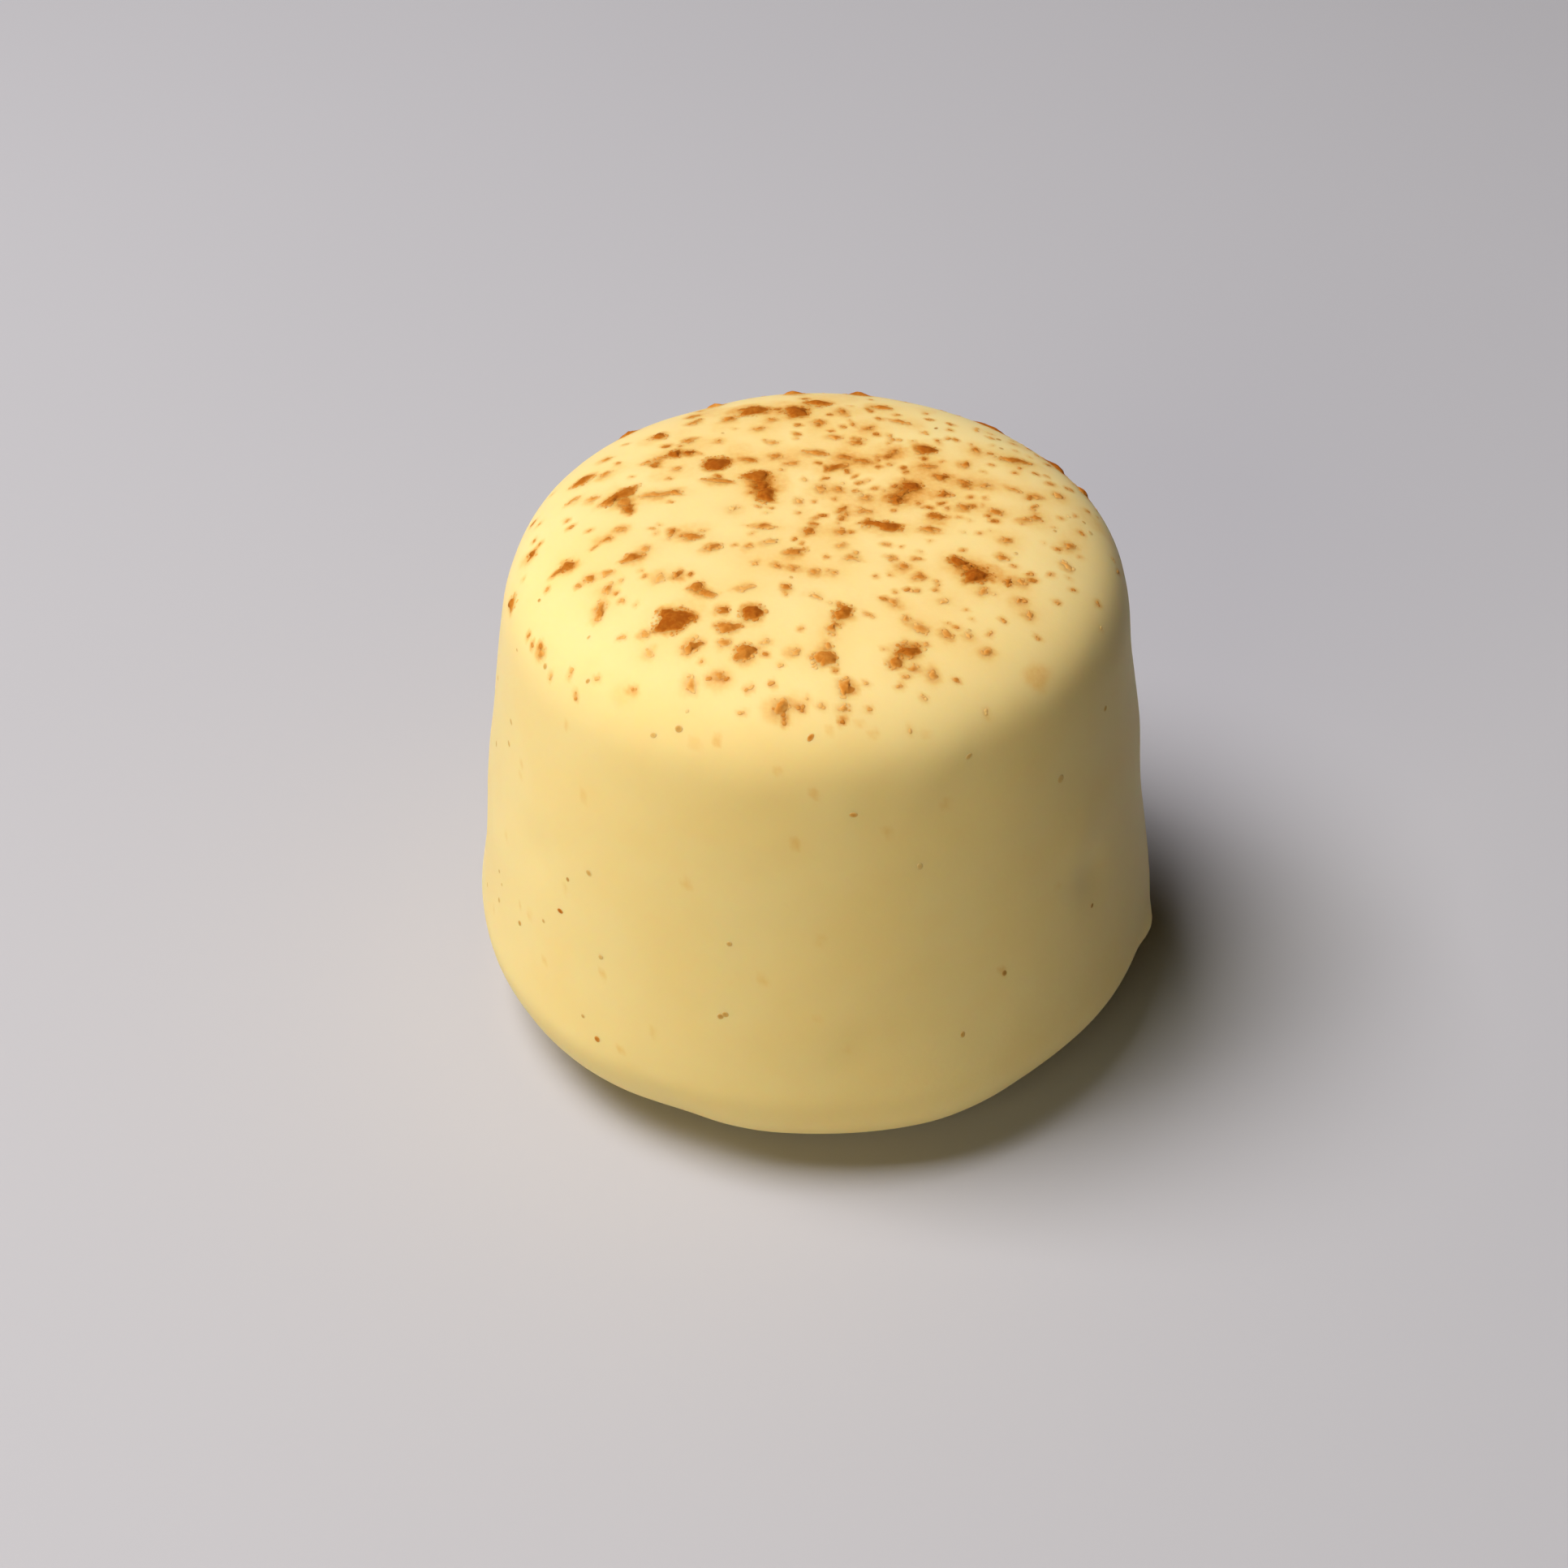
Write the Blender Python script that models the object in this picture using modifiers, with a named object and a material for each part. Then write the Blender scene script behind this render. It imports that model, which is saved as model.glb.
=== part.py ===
"""A coated licorice candy: a squat round drum, a little wider at its foot, with a low dome on top,
dipped by hand in a pale coating and dusted with coarse orange-brown powder. It is one solid.
Metres, +Z up. The origin is the middle of the flat base, and the side shown best faces -Y."""

import math

import bmesh
import bpy
from mathutils import Matrix, Vector, noise

MM = 0.001
# Stands in for nothing where a length is divided by
TINY = 1e-9

# The body's outline, in millimetres: a cone that is BASE_RADIUS at the foot and TOP_RADIUS at the
# top, whose edges are then rounded off above SHOULDER_HEIGHT and below FOOT_HEIGHT
BASE_RADIUS = 10.42
TOP_RADIUS = 8.32
HEIGHT = 15.75
SHOULDER_HEIGHT = 12.4
FOOT_HEIGHT = 3.25
FLAT_RADIUS = 6.7
# Powers of the curves: 2 is a true ellipse, and more is squarer
DOME_SQUARENESS = 3.85
SHOULDER_SQUARENESS = 3.4
FOOT_SQUARENESS = 1.8

# How finely the body is faceted: the spacing down its outline in millimetres, and the steps round it
OUTLINE_STEP = 0.85
TURN_STEPS = 66
# Points on each rounded end of the outline, from which the evenly spaced ones are read
FINE_STEPS = 400
# The shortest edge left where pieces are fused, and the merging distance on the axis, in metres
SHORTEST_EDGE = 0.000003
MERGE_DISTANCE = 0.000001
# Facets that meet at more than this many degrees show an edge
SHARP_ANGLE = 35

# Swellings and dents of the hand-dipped coating: azimuth in degrees (0 is +X, -90 the front),
# height, reach and how far the surface is pushed out, in millimetres
SWELLINGS = [
    (-70, 1.6, 1.9, 0.10),
    (-137, 2.0, 2.6, 0.09),
    (-158, 2.8, 1.5, 0.05),
    (180, 7.6, 1.4, 0.07),
    (-2, 9.0, 1.2, 0.06),
    (18, 14.2, 1.8, 0.04),
    (-38, 9.1, 0.8, 0.05),
    (-162, 6.6, 0.9, 0.03),
    (-66, 13.4, 1.0, 0.03),
    (-86, 5.6, 0.8, 0.02),
    (62, 5.0, 2.4, 0.07),
    (128, 9.5, 2.0, 0.05),
]
DENTS = [
    (-48, 1.7, 2.0, -0.09),
    (-114, 1.6, 1.4, -0.13),
    (180, 4.8, 1.3, -0.06),
    (172, 13.5, 1.6, -0.06),
    (-3, 11.4, 1.2, -0.04),
    (-3, 6.6, 1.4, -0.04),
    (115, 14.9, 1.2, -0.05),
    (-36, 7.7, 0.7, -0.10),
    (-144, 8.3, 0.9, -0.05),
    (-65, 12.4, 0.9, -0.04),
    (-84, 4.8, 0.8, -0.03),
    (95, 2.0, 2.2, -0.08),
    (40, 11.5, 1.6, -0.05),
]
# A small pinched drip low on the right
DRIP = (-13, 2.7, 0.60, 0.20)
# A swelling is nothing beyond this many reaches
SWELLING_END = 3.0
# Below this height the swellings fade out, so that the base stays flat
FOOT_FADE = 1.0
# The coating's slow waviness
WAVE_LENGTH = 4.5
WAVE_DEPTH = 0.03

# The largest powder clumps on the top: place across, place back, length, width in millimetres,
# and turn in degrees
FRONT_CLUMPS = [
    (-3.7, -4.4, 0.95, 0.80, 10),
    (-1.6, -4.3, 0.62, 0.48, 15),
    (-2.42, -4.15, 0.34, 0.26, 10),
    (-2.25, -4.85, 0.66, 0.32, 175),
    (-3.15, -5.4, 0.52, 0.42, 50),
    (-1.8, -5.7, 0.60, 0.46, 40),
    (-0.85, -7.35, 0.45, 0.40, 120),
    (0.7, -4.3, 0.65, 0.40, 25),
    (0.5, -4.9, 0.46, 0.28, 75),
    (0.2, -6.05, 0.58, 0.44, 10),
    (2.4, -5.65, 0.72, 0.40, 12),
    (2.05, -6.05, 0.50, 0.32, 60),
    (0.8, -6.85, 0.46, 0.34, 90),
]
MIDDLE_CLUMPS = [
    (3.78, -2.08, 0.42, 0.40, 0),
    (4.3, -2.58, 0.82, 0.58, 22),
    (-6.63, -1.6, 0.42, 0.36, 30),
    (-5.5, -2.9, 0.36, 0.20, 75),
    (-5.65, -3.6, 0.72, 0.24, 82),
    (-4.85, -1.8, 0.48, 0.28, 12),
    (-5.65, -0.8, 0.34, 0.22, 30),
    (-3.3, -1.02, 0.58, 0.28, 175),
    (-2.68, -1.5, 0.46, 0.24, 15),
    (-3.1, -3.15, 0.42, 0.34, 20),
    (-3.65, -2.6, 0.34, 0.28, 10),
    (-0.5, -1.7, 0.60, 0.25, 15),
    (1.85, -0.5, 1.10, 0.40, 176),
    (3.05, -0.65, 0.52, 0.22, 170),
    (3.35, -0.03, 0.42, 0.30, 165),
]
BACK_CLUMPS = [
    (-1.6, 1.85, 0.78, 0.52, 165),
    (-1.35, 1.0, 0.80, 0.46, 100),
    (-2.75, 2.6, 0.72, 0.62, 170),
    (-3.97, 3.2, 0.46, 0.42, 20),
    (-3.52, 3.22, 0.30, 0.26, 0),
    (-4.48, 4.42, 0.46, 0.42, 30),
    (-5.4, 1.25, 1.22, 0.34, 38),
    (-5.1, 0.55, 0.48, 0.20, 95),
    (-4.35, 1.15, 0.85, 0.14, 3),
    (-3.8, 1.18, 0.36, 0.22, 170),
    (-6.5, 2.6, 0.72, 0.38, 38),
    (-1.8, 5.7, 0.95, 0.62, 35),
    (-2.45, 5.25, 0.42, 0.26, 10),
    (-0.5, 5.5, 0.70, 0.62, 100),
    (0.05, 6.1, 0.68, 0.42, 170),
    (0.0, 3.12, 0.66, 0.22, 170),
    (2.62, 1.4, 0.64, 0.38, 170),
    (2.25, 0.7, 0.44, 0.34, 60),
    (3.1, 3.3, 0.46, 0.40, 5),
    (3.5, 1.9, 0.42, 0.28, 0),
    (3.55, 1.1, 0.38, 0.32, 20),
    (5.6, 3.28, 0.92, 0.24, 3),
    (1.9, 5.9, 0.46, 0.32, 165),
]
RIM_CLUMPS = [
    (5.15, 6.1, 1.20, 0.50, 140),
    (6.85, 4.15, 0.90, 0.50, 121),
    (7.5, 3.15, 0.80, 0.42, 112),
    (1.25, 7.4, 0.85, 0.50, 170),
    (-0.6, 7.4, 0.60, 0.42, 5),
    (-2.9, 6.9, 0.55, 0.42, 22),
    (-5.4, 5.6, 0.62, 0.42, 44),
    (-8.25, -1.6, 0.50, 0.36, 100),
    (-7.75, -0.35, 0.36, 0.30, 95),
]
CLUMPS = FRONT_CLUMPS + MIDDLE_CLUMPS + BACK_CLUMPS + RIM_CLUMPS
# A clump stands this share of its width above the coating, and no more than the limit
CLUMP_RISE = 0.19
CLUMP_RISE_LIMIT = 0.085
# How much a clump's edge wanders, how finely, and how unlike its neighbours' it is
CLUMP_ROUGHNESS = 0.75
ROUGH_FINENESS = 2.3
ROUGH_VARIETY = 3.1
# This share of its half height is under the coating, so that its widest part is hidden
CLUMP_SINK = 0.30
CLUMP_SIDES = 10
CLUMP_RINGS = 4

# The smaller flakes between them, in the same terms
FRONT_FLAKES = [
    (-0.77, -3.27, 0.28, 0.22, 130),
    (-1.85, -3.25, 0.46, 0.15, 15),
    (-0.03, -3.68, 0.34, 0.20, 160),
    (-2.78, -3.5, 0.38, 0.30, 160),
    (-3.25, -4.4, 0.32, 0.22, 10),
    (2.07, -3.87, 0.30, 0.18, 150),
    (2.37, -4.47, 0.22, 0.20, 0),
    (2.68, -4.8, 0.34, 0.22, 165),
    (3.42, -5.0, 0.34, 0.20, 125),
    (4.0, -4.95, 0.22, 0.18, 30),
    (3.33, -3.75, 0.24, 0.18, 20),
    (4.4, -3.25, 0.28, 0.18, 60),
    (5.37, -3.42, 0.20, 0.18, 0),
    (5.6, -3.85, 0.22, 0.17, 100),
    (4.45, -5.4, 0.22, 0.20, 0),
    (3.0, -6.35, 0.28, 0.20, 90),
    (0.32, -5.52, 0.25, 0.18, 95),
    (-1.3, -5.4, 0.22, 0.17, 20),
    (-2.35, -5.4, 0.30, 0.22, 80),
    (-0.47, -5.75, 0.20, 0.18, 0),
    (-2.5, -6.4, 0.24, 0.18, 110),
    (-3.13, -6.55, 0.42, 0.20, 95),
    (0.72, -7.4, 0.26, 0.22, 170),
    (2.55, -6.15, 0.24, 0.18, 0),
    (-4.35, -4.8, 0.28, 0.18, 25),
    (-4.3, -5.42, 0.24, 0.18, 90),
    (-7.25, -4.05, 0.28, 0.18, 0),
]
MIDDLE_FLAKES = [
    (-0.1, -0.73, 0.30, 0.26, 10),
    (0.66, -0.78, 0.26, 0.20, 140),
    (0.7, -1.5, 0.22, 0.18, 0),
    (-1.2, -1.25, 0.30, 0.20, 0),
    (-1.35, -0.55, 0.72, 0.14, 175),
    (-1.75, -1.42, 0.22, 0.16, 0),
    (-0.97, -2.32, 0.26, 0.22, 160),
    (-0.53, -2.37, 0.22, 0.16, 0),
    (-1.6, -2.2, 0.22, 0.17, 60),
    (-0.03, -2.62, 0.26, 0.20, 170),
    (0.55, -2.67, 0.20, 0.16, 10),
    (1.0, -2.05, 0.46, 0.14, 170),
    (2.33, -2.33, 0.24, 0.22, 0),
    (2.78, -2.78, 0.28, 0.22, 30),
    (-3.87, -0.72, 0.28, 0.20, 70),
    (-5.27, -0.45, 0.25, 0.20, 0),
    (-4.55, -1.45, 0.24, 0.20, 40),
    (-5.53, -2.28, 0.25, 0.18, 170),
    (-6.0, -2.35, 0.28, 0.25, 40),
    (-4.1, -2.75, 0.34, 0.20, 80),
    (5.13, -2.68, 0.28, 0.22, 20),
    (5.5, -2.65, 0.18, 0.16, 0),
    (5.0, -1.72, 0.28, 0.20, 25),
    (5.15, -0.92, 0.30, 0.20, 160),
    (6.92, -0.68, 0.28, 0.26, 0),
    (6.7, -1.55, 0.34, 0.22, 155),
    (4.92, 0.33, 0.36, 0.24, 165),
    (4.07, 0.45, 0.32, 0.20, 155),
    (6.1, 0.3, 0.25, 0.22, 0),
    (5.72, 0.12, 0.30, 0.18, 155),
    (0.76, 0.28, 0.26, 0.22, 20),
    (1.35, 0.12, 0.38, 0.14, 20),
    (-0.4, 0.62, 0.22, 0.18, 160),
    (0.6, 1.15, 0.24, 0.18, 150),
    (0.15, 1.2, 0.34, 0.18, 95),
    (1.4, 0.85, 0.22, 0.17, 0),
    (-2.2, 0.28, 0.26, 0.22, 60),
]
BACK_FLAKES = [
    (-6.7, 1.55, 0.44, 0.15, 40),
    (-6.15, 1.35, 0.28, 0.20, 165),
    (-5.87, 3.6, 0.30, 0.18, 15),
    (-5.8, 2.6, 0.30, 0.20, 45),
    (-4.4, 3.1, 0.28, 0.22, 20),
    (-4.75, 2.85, 0.28, 0.15, 25),
    (-4.4, 2.8, 0.18, 0.16, 0),
    (-3.9, 2.38, 0.20, 0.15, 30),
    (-3.55, 3.95, 0.40, 0.16, 22),
    (-3.55, 5.15, 0.30, 0.24, 0),
    (-3.55, 5.75, 0.28, 0.15, 10),
    (-2.6, 1.62, 0.72, 0.15, 167),
    (-1.85, 2.77, 0.34, 0.20, 165),
    (-1.1, 2.92, 0.30, 0.20, 0),
    (-0.62, 2.48, 0.22, 0.16, 150),
    (-1.2, 3.65, 0.28, 0.16, 0),
    (-2.72, 3.85, 0.22, 0.15, 0),
    (-1.55, 4.48, 0.30, 0.18, 5),
    (-1.2, 5.0, 0.30, 0.17, 15),
    (0.84, 2.86, 0.34, 0.18, 170),
    (1.32, 2.62, 0.46, 0.18, 170),
    (0.6, 2.32, 0.66, 0.18, 22),
    (0.62, 3.93, 0.36, 0.22, 0),
    (1.22, 3.6, 0.34, 0.18, 10),
    (1.5, 4.48, 0.32, 0.18, 170),
    (0.8, 5.48, 0.26, 0.22, 120),
    (0.14, 4.8, 0.32, 0.20, 150),
    (2.4, 4.97, 0.60, 0.18, 160),
    (2.25, 3.15, 0.20, 0.15, 0),
    (3.1, 2.42, 0.38, 0.16, 10),
    (4.23, 2.65, 0.30, 0.24, 80),
    (4.12, 1.68, 0.40, 0.18, 172),
    (4.55, 3.5, 0.24, 0.16, 150),
    (6.75, 1.75, 0.32, 0.22, 110),
    (6.1, 1.38, 0.34, 0.18, 0),
    (5.45, 1.6, 0.32, 0.15, 150),
    (4.7, 1.65, 0.28, 0.17, 0),
]
FLAKES = FRONT_FLAKES + MIDDLE_FLAKES + BACK_FLAKES

COATING_COLOUR = (0.930, 0.710, 0.270, 1.0)
COATING_ROUGHNESS = 0.45
POWDER_COLOUR = (0.420, 0.110, 0.012, 1.0)
POWDER_ROUGHNESS = 0.90


def clear_scene():
    """Removes what a new scene holds."""
    for thing in list(bpy.data.objects):
        bpy.data.objects.remove(thing, do_unlink=True)


def new_material(name, colour, roughness):
    """A plain material of the part's colour."""
    material = bpy.data.materials.new(name)
    material.use_nodes = True
    shader = material.node_tree.nodes["Principled BSDF"]
    shader.inputs["Base Color"].default_value = colour
    shader.inputs["Roughness"].default_value = roughness
    shader.inputs["Metallic"].default_value = 0.0
    return material


def cone_radius(height):
    """The radius of the unrounded cone at this height."""
    return BASE_RADIUS + (TOP_RADIUS - BASE_RADIUS) * height / HEIGHT


def dome_point(turn):
    """The dome and shoulder as a quarter curve: turn 0 is the shoulder's foot, a quarter the top."""
    height = SHOULDER_HEIGHT + (HEIGHT - SHOULDER_HEIGHT) * math.sin(turn) ** (2 / SHOULDER_SQUARENESS)
    share = max(math.cos(turn), 0.0) ** (2 / DOME_SQUARENESS)
    return share * cone_radius(height), height


def foot_point(turn):
    """The rounded foot as a quarter curve: turn 0 is the edge of the flat, a quarter the wall's foot."""
    height = FOOT_HEIGHT * (1 - max(math.cos(turn), 0.0) ** (2 / FOOT_SQUARENESS))
    flat_share = FLAT_RADIUS / BASE_RADIUS
    share = flat_share + (1 - flat_share) * math.sin(turn) ** (2 / FOOT_SQUARENESS)
    return share * cone_radius(height), height


def fine_outline():
    """(radius, height) closely spaced down the outside, from the top's middle to the flat's edge."""
    turns = [math.pi / 2 * i / FINE_STEPS for i in range(FINE_STEPS + 1)]
    dome = [dome_point(turn) for turn in reversed(turns)]
    foot = [foot_point(turn) for turn in reversed(turns)]
    return dome + foot


def even_outline(step):
    """The outline with points about step apart along it."""
    fine = fine_outline()
    walked = [0.0]
    for a, b in zip(fine, fine[1:]):
        walked.append(walked[-1] + math.dist(a, b))
    count = round(walked[-1] / step)
    points = []
    at = 0
    for i in range(count + 1):
        goal = walked[-1] * i / count
        while at < len(walked) - 2 and walked[at + 1] < goal:
            at += 1
        share = (goal - walked[at]) / max(walked[at + 1] - walked[at], TINY)
        a, b = fine[at], fine[at + 1]
        points.append((a[0] + (b[0] - a[0]) * share, a[1] + (b[1] - a[1]) * share))
    points[0] = (0.0, HEIGHT)
    return points


def wall_point(azimuth, height):
    """The point of the smooth outline's surface at this azimuth and height."""
    outline = fine_outline()
    at = next(i for i in range(len(outline) - 1) if outline[i + 1][1] <= height)
    (r0, z0), (r1, z1) = outline[at], outline[at + 1]
    radius = r0 + (r1 - r0) * (z0 - height) / max(z0 - z1, TINY)
    turn = math.radians(azimuth)
    return Vector((radius * math.cos(turn), radius * math.sin(turn), height))


def place_swellings():
    """Every swelling, dent and the drip as (middle, reach, push)."""
    listed = SWELLINGS + DENTS + [DRIP]
    return [(wall_point(azimuth, height), reach, push) for azimuth, height, reach, push in listed]


def push_at(point, swellings):
    """How far the coating stands out from the smooth outline at this point."""
    push = WAVE_DEPTH * noise.noise(point / WAVE_LENGTH)
    for middle, reach, amount in swellings:
        apart = (point - middle).length / reach
        if apart < SWELLING_END:
            push += amount * math.exp(-apart * apart)
    fade = min(max(point.z / FOOT_FADE, 0.0), 1.0)
    return push * fade * fade * (3 - 2 * fade)


def dome_seat(x, y):
    """The point on the dome above x, y, and the way out of the surface there."""
    reach = math.hypot(x, y)
    outline = fine_outline()
    at = next(i for i in range(len(outline) - 1) if outline[i + 1][0] >= reach)
    (r0, z0), (r1, z1) = outline[at], outline[at + 1]
    height = z0 + (z1 - z0) * (reach - r0) / (r1 - r0)
    out = Vector((x, y, 0.0)) / max(reach, TINY)
    way = out * (z0 - z1) + Vector((0.0, 0.0, r1 - r0))
    return Vector((x, y, height)), way.normalized()


def seat_frame(x, y, turn, swellings):
    """A frame on the coating, Z out of it, with X turned this many degrees from the row's X."""
    point, way = dome_seat(x, y)
    point = point + way * push_at(point, swellings)
    along = Vector((math.cos(math.radians(turn)), math.sin(math.radians(turn)), 0.0))
    along = (along - way * along.dot(way)).normalized()
    side = way.cross(along)
    frame = Matrix((along, side, way)).transposed().to_4x4()
    return Matrix.Translation(point) @ frame


def apply_modifiers(thing):
    """Turns an object's evaluated form into its own mesh."""
    seen = bpy.context.evaluated_depsgraph_get()
    made = bpy.data.meshes.new_from_object(thing.evaluated_get(seen))
    thing.modifiers.clear()
    old = thing.data
    thing.data = made
    bpy.data.meshes.remove(old)


def turn_body(collection, material):
    """The body: its outline turned about Z, then pushed in and out like a hand-dipped coating."""
    outline = even_outline(OUTLINE_STEP) + [(0.0, 0.0)]
    mesh = bpy.data.meshes.new("candy")
    mesh.from_pydata(
        [(radius * MM, 0.0, height * MM) for radius, height in outline],
        [(i, i + 1) for i in range(len(outline) - 1)],
        [],
    )
    body = bpy.data.objects.new("candy", mesh)
    collection.objects.link(body)
    screw = body.modifiers.new("turn", "SCREW")
    screw.axis = "Z"
    screw.steps = TURN_STEPS
    screw.render_steps = TURN_STEPS
    screw.use_merge_vertices = True
    screw.merge_threshold = MERGE_DISTANCE
    apply_modifiers(body)
    body.data.materials.append(material)

    swellings = place_swellings()
    shape = bmesh.new()
    shape.from_mesh(body.data)
    shape.normal_update()
    pushes = [(vert, vert.normal.copy() * push_at(vert.co / MM, swellings) * MM) for vert in shape.verts]
    for vert, push in pushes:
        vert.co += push
    bmesh.ops.triangulate(shape, faces=shape.faces)
    shape.to_mesh(body.data)
    shape.free()
    return body, swellings


def add_lump(collection, name, material, place, swellings, large):
    """One large clump or small flake of powder: a rough, flattened lump sunk a little into the coating."""
    x, y, length, width, turn = place
    frame = seat_frame(x, y, turn, swellings)
    rise = min(width * CLUMP_RISE, CLUMP_RISE_LIMIT)
    half_height = rise / (1 - CLUMP_SINK)
    lump = bmesh.new()
    if large:
        bmesh.ops.create_uvsphere(lump, u_segments=CLUMP_SIDES, v_segments=CLUMP_RINGS, radius=1.0)
    else:
        bmesh.ops.create_icosphere(lump, subdivisions=1, radius=1.0)
    middle = frame.translation
    for vert in lump.verts:
        way = vert.co.copy()
        rough = 1 + CLUMP_ROUGHNESS * noise.noise(way * ROUGH_FINENESS + middle * ROUGH_VARIETY)
        high = (way.z - CLUMP_SINK) * half_height
        local = Vector((way.x * length / 2 * rough, way.y * width / 2 * rough, high))
        vert.co = (frame @ local) * MM
    bmesh.ops.triangulate(lump, faces=lump.faces)
    mesh = bpy.data.meshes.new(name)
    lump.to_mesh(mesh)
    lump.free()
    mesh.materials.append(material)
    collection.objects.link(bpy.data.objects.new(name, mesh))


def fuse(body, collection):
    """One union of the body with everything in the collection, which is then removed."""
    union = body.modifiers.new("fuse", "BOOLEAN")
    union.operation = "UNION"
    union.operand_type = "COLLECTION"
    union.collection = collection
    union.solver = "EXACT"
    union.use_self = True
    union.material_mode = "TRANSFER"
    apply_modifiers(body)
    for thing in list(collection.objects):
        bpy.data.objects.remove(thing, do_unlink=True)
    bpy.data.collections.remove(collection)


def close_hairlines(shape):
    """Closes up each very short edge, wherever that leaves the surface whole."""
    closed = True
    while closed:
        closed = False
        for edge in sorted(shape.edges, key=lambda each: each.calc_length()):
            if edge.calc_length() > SHORTEST_EDGE:
                break
            a, b = edge.verts
            beside_a = {each.other_vert(a) for each in a.link_edges}
            beside_b = {each.other_vert(b) for each in b.link_edges}
            if len(beside_a & beside_b) == 2:
                bmesh.ops.collapse(shape, edges=[edge])
                closed = True
                break


def keep_outer_shell(shape):
    """Fills the hollows that fusing sealed, and drops loose scraps."""
    left = set(shape.verts)
    shells = []
    while left:
        shell = {left.pop()}
        rim = list(shell)
        while rim:
            vert = rim.pop()
            found = {edge.other_vert(vert) for edge in vert.link_edges} - shell
            shell |= found
            rim.extend(found)
        left -= shell
        shells.append(shell)
    shells.sort(key=len, reverse=True)
    for shell in shells[1:]:
        bmesh.ops.delete(shape, geom=list(shell), context="VERTS")


def tidy_fused(body):
    """Leaves one closed skin of triangles."""
    shape = bmesh.new()
    shape.from_mesh(body.data)
    bmesh.ops.triangulate(shape, faces=shape.faces)
    close_hairlines(shape)
    keep_outer_shell(shape)
    shape.to_mesh(body.data)
    shape.free()


def build():
    """Makes the candy."""
    clear_scene()
    scene = bpy.context.scene
    candy_parts = bpy.data.collections.new("licorice candy")
    scene.collection.children.link(candy_parts)
    powder_parts = bpy.data.collections.new("powder")
    scene.collection.children.link(powder_parts)

    coating = new_material("coating", COATING_COLOUR, COATING_ROUGHNESS)
    powder = new_material("powder", POWDER_COLOUR, POWDER_ROUGHNESS)
    body, swellings = turn_body(candy_parts, coating)
    body.data.materials.append(powder)

    for i, place in enumerate(CLUMPS):
        add_lump(powder_parts, f"clump_{i:02d}", powder, place, swellings, True)
    for i, place in enumerate(FLAKES):
        add_lump(powder_parts, f"flake_{i:02d}", powder, place, swellings, False)

    fuse(body, powder_parts)
    tidy_fused(body)
    body.data.shade_smooth()
    body.data.set_sharp_from_angle(angle=math.radians(SHARP_ANGLE))


build()
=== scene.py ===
"""The looks of a coated licorice candy: a hand-dipped pale coating, dusted with coarse orange-brown powder.
Metres, +Z up. The origin is the middle of the flat base, and the side shown best faces -Y."""

import math
import random

import bmesh
import bpy
import numpy as np
from mathutils import Matrix, Vector, noise


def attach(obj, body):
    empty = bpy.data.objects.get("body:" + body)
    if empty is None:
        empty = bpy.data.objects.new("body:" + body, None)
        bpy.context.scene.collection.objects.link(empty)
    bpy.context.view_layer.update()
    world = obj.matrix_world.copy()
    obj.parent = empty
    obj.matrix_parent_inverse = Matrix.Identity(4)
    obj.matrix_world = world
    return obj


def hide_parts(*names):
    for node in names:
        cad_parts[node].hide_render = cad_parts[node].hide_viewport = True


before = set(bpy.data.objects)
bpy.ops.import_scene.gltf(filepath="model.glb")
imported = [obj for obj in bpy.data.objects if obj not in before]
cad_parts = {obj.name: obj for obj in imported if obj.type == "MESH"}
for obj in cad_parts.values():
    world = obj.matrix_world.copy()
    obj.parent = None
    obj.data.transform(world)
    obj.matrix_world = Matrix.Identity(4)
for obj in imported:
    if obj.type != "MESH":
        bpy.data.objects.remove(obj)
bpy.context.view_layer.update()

MM = 0.001
# Stands in for nothing where a length is divided by
TINY = 1e-9

# The camera, in millimetres and degrees: it looks at the candy's middle from its front and above, then
# turns so that the middle lies where it does in the photograph
EYE_DISTANCE = 80.0
EYE_ELEVATION = 39.26
LOOK_HEIGHT = 7.889
FRAMING_TURN = 0.647
FRAMING_TILT = 0.934
LENS = 63.41
SENSOR = 36.0

# The body's outline, in millimetres: a cone that is BASE_RADIUS at the foot and TOP_RADIUS at the
# top, whose edges are then rounded off above SHOULDER_HEIGHT and below FOOT_HEIGHT
BASE_RADIUS = 10.42
TOP_RADIUS = 8.32
HEIGHT = 15.75
SHOULDER_HEIGHT = 12.4
FOOT_HEIGHT = 3.25
FLAT_RADIUS = 6.7
# Powers of the curves: 2 is a true ellipse, and more is squarer
DOME_SQUARENESS = 3.85
SHOULDER_SQUARENESS = 3.4
FOOT_SQUARENESS = 1.8
# Points on each rounded end of the outline, from which the evenly spaced ones are read
FINE_STEPS = 400

# The fine surface: steps round it, and millimetres between rows on the top, the wall and foot, and the base
TURN_STEPS = 480
TOP_STEP = 0.11
WALL_STEP = 0.19
BASE_STEP = 0.9
MERGE_DISTANCE = 0.000001

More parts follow.
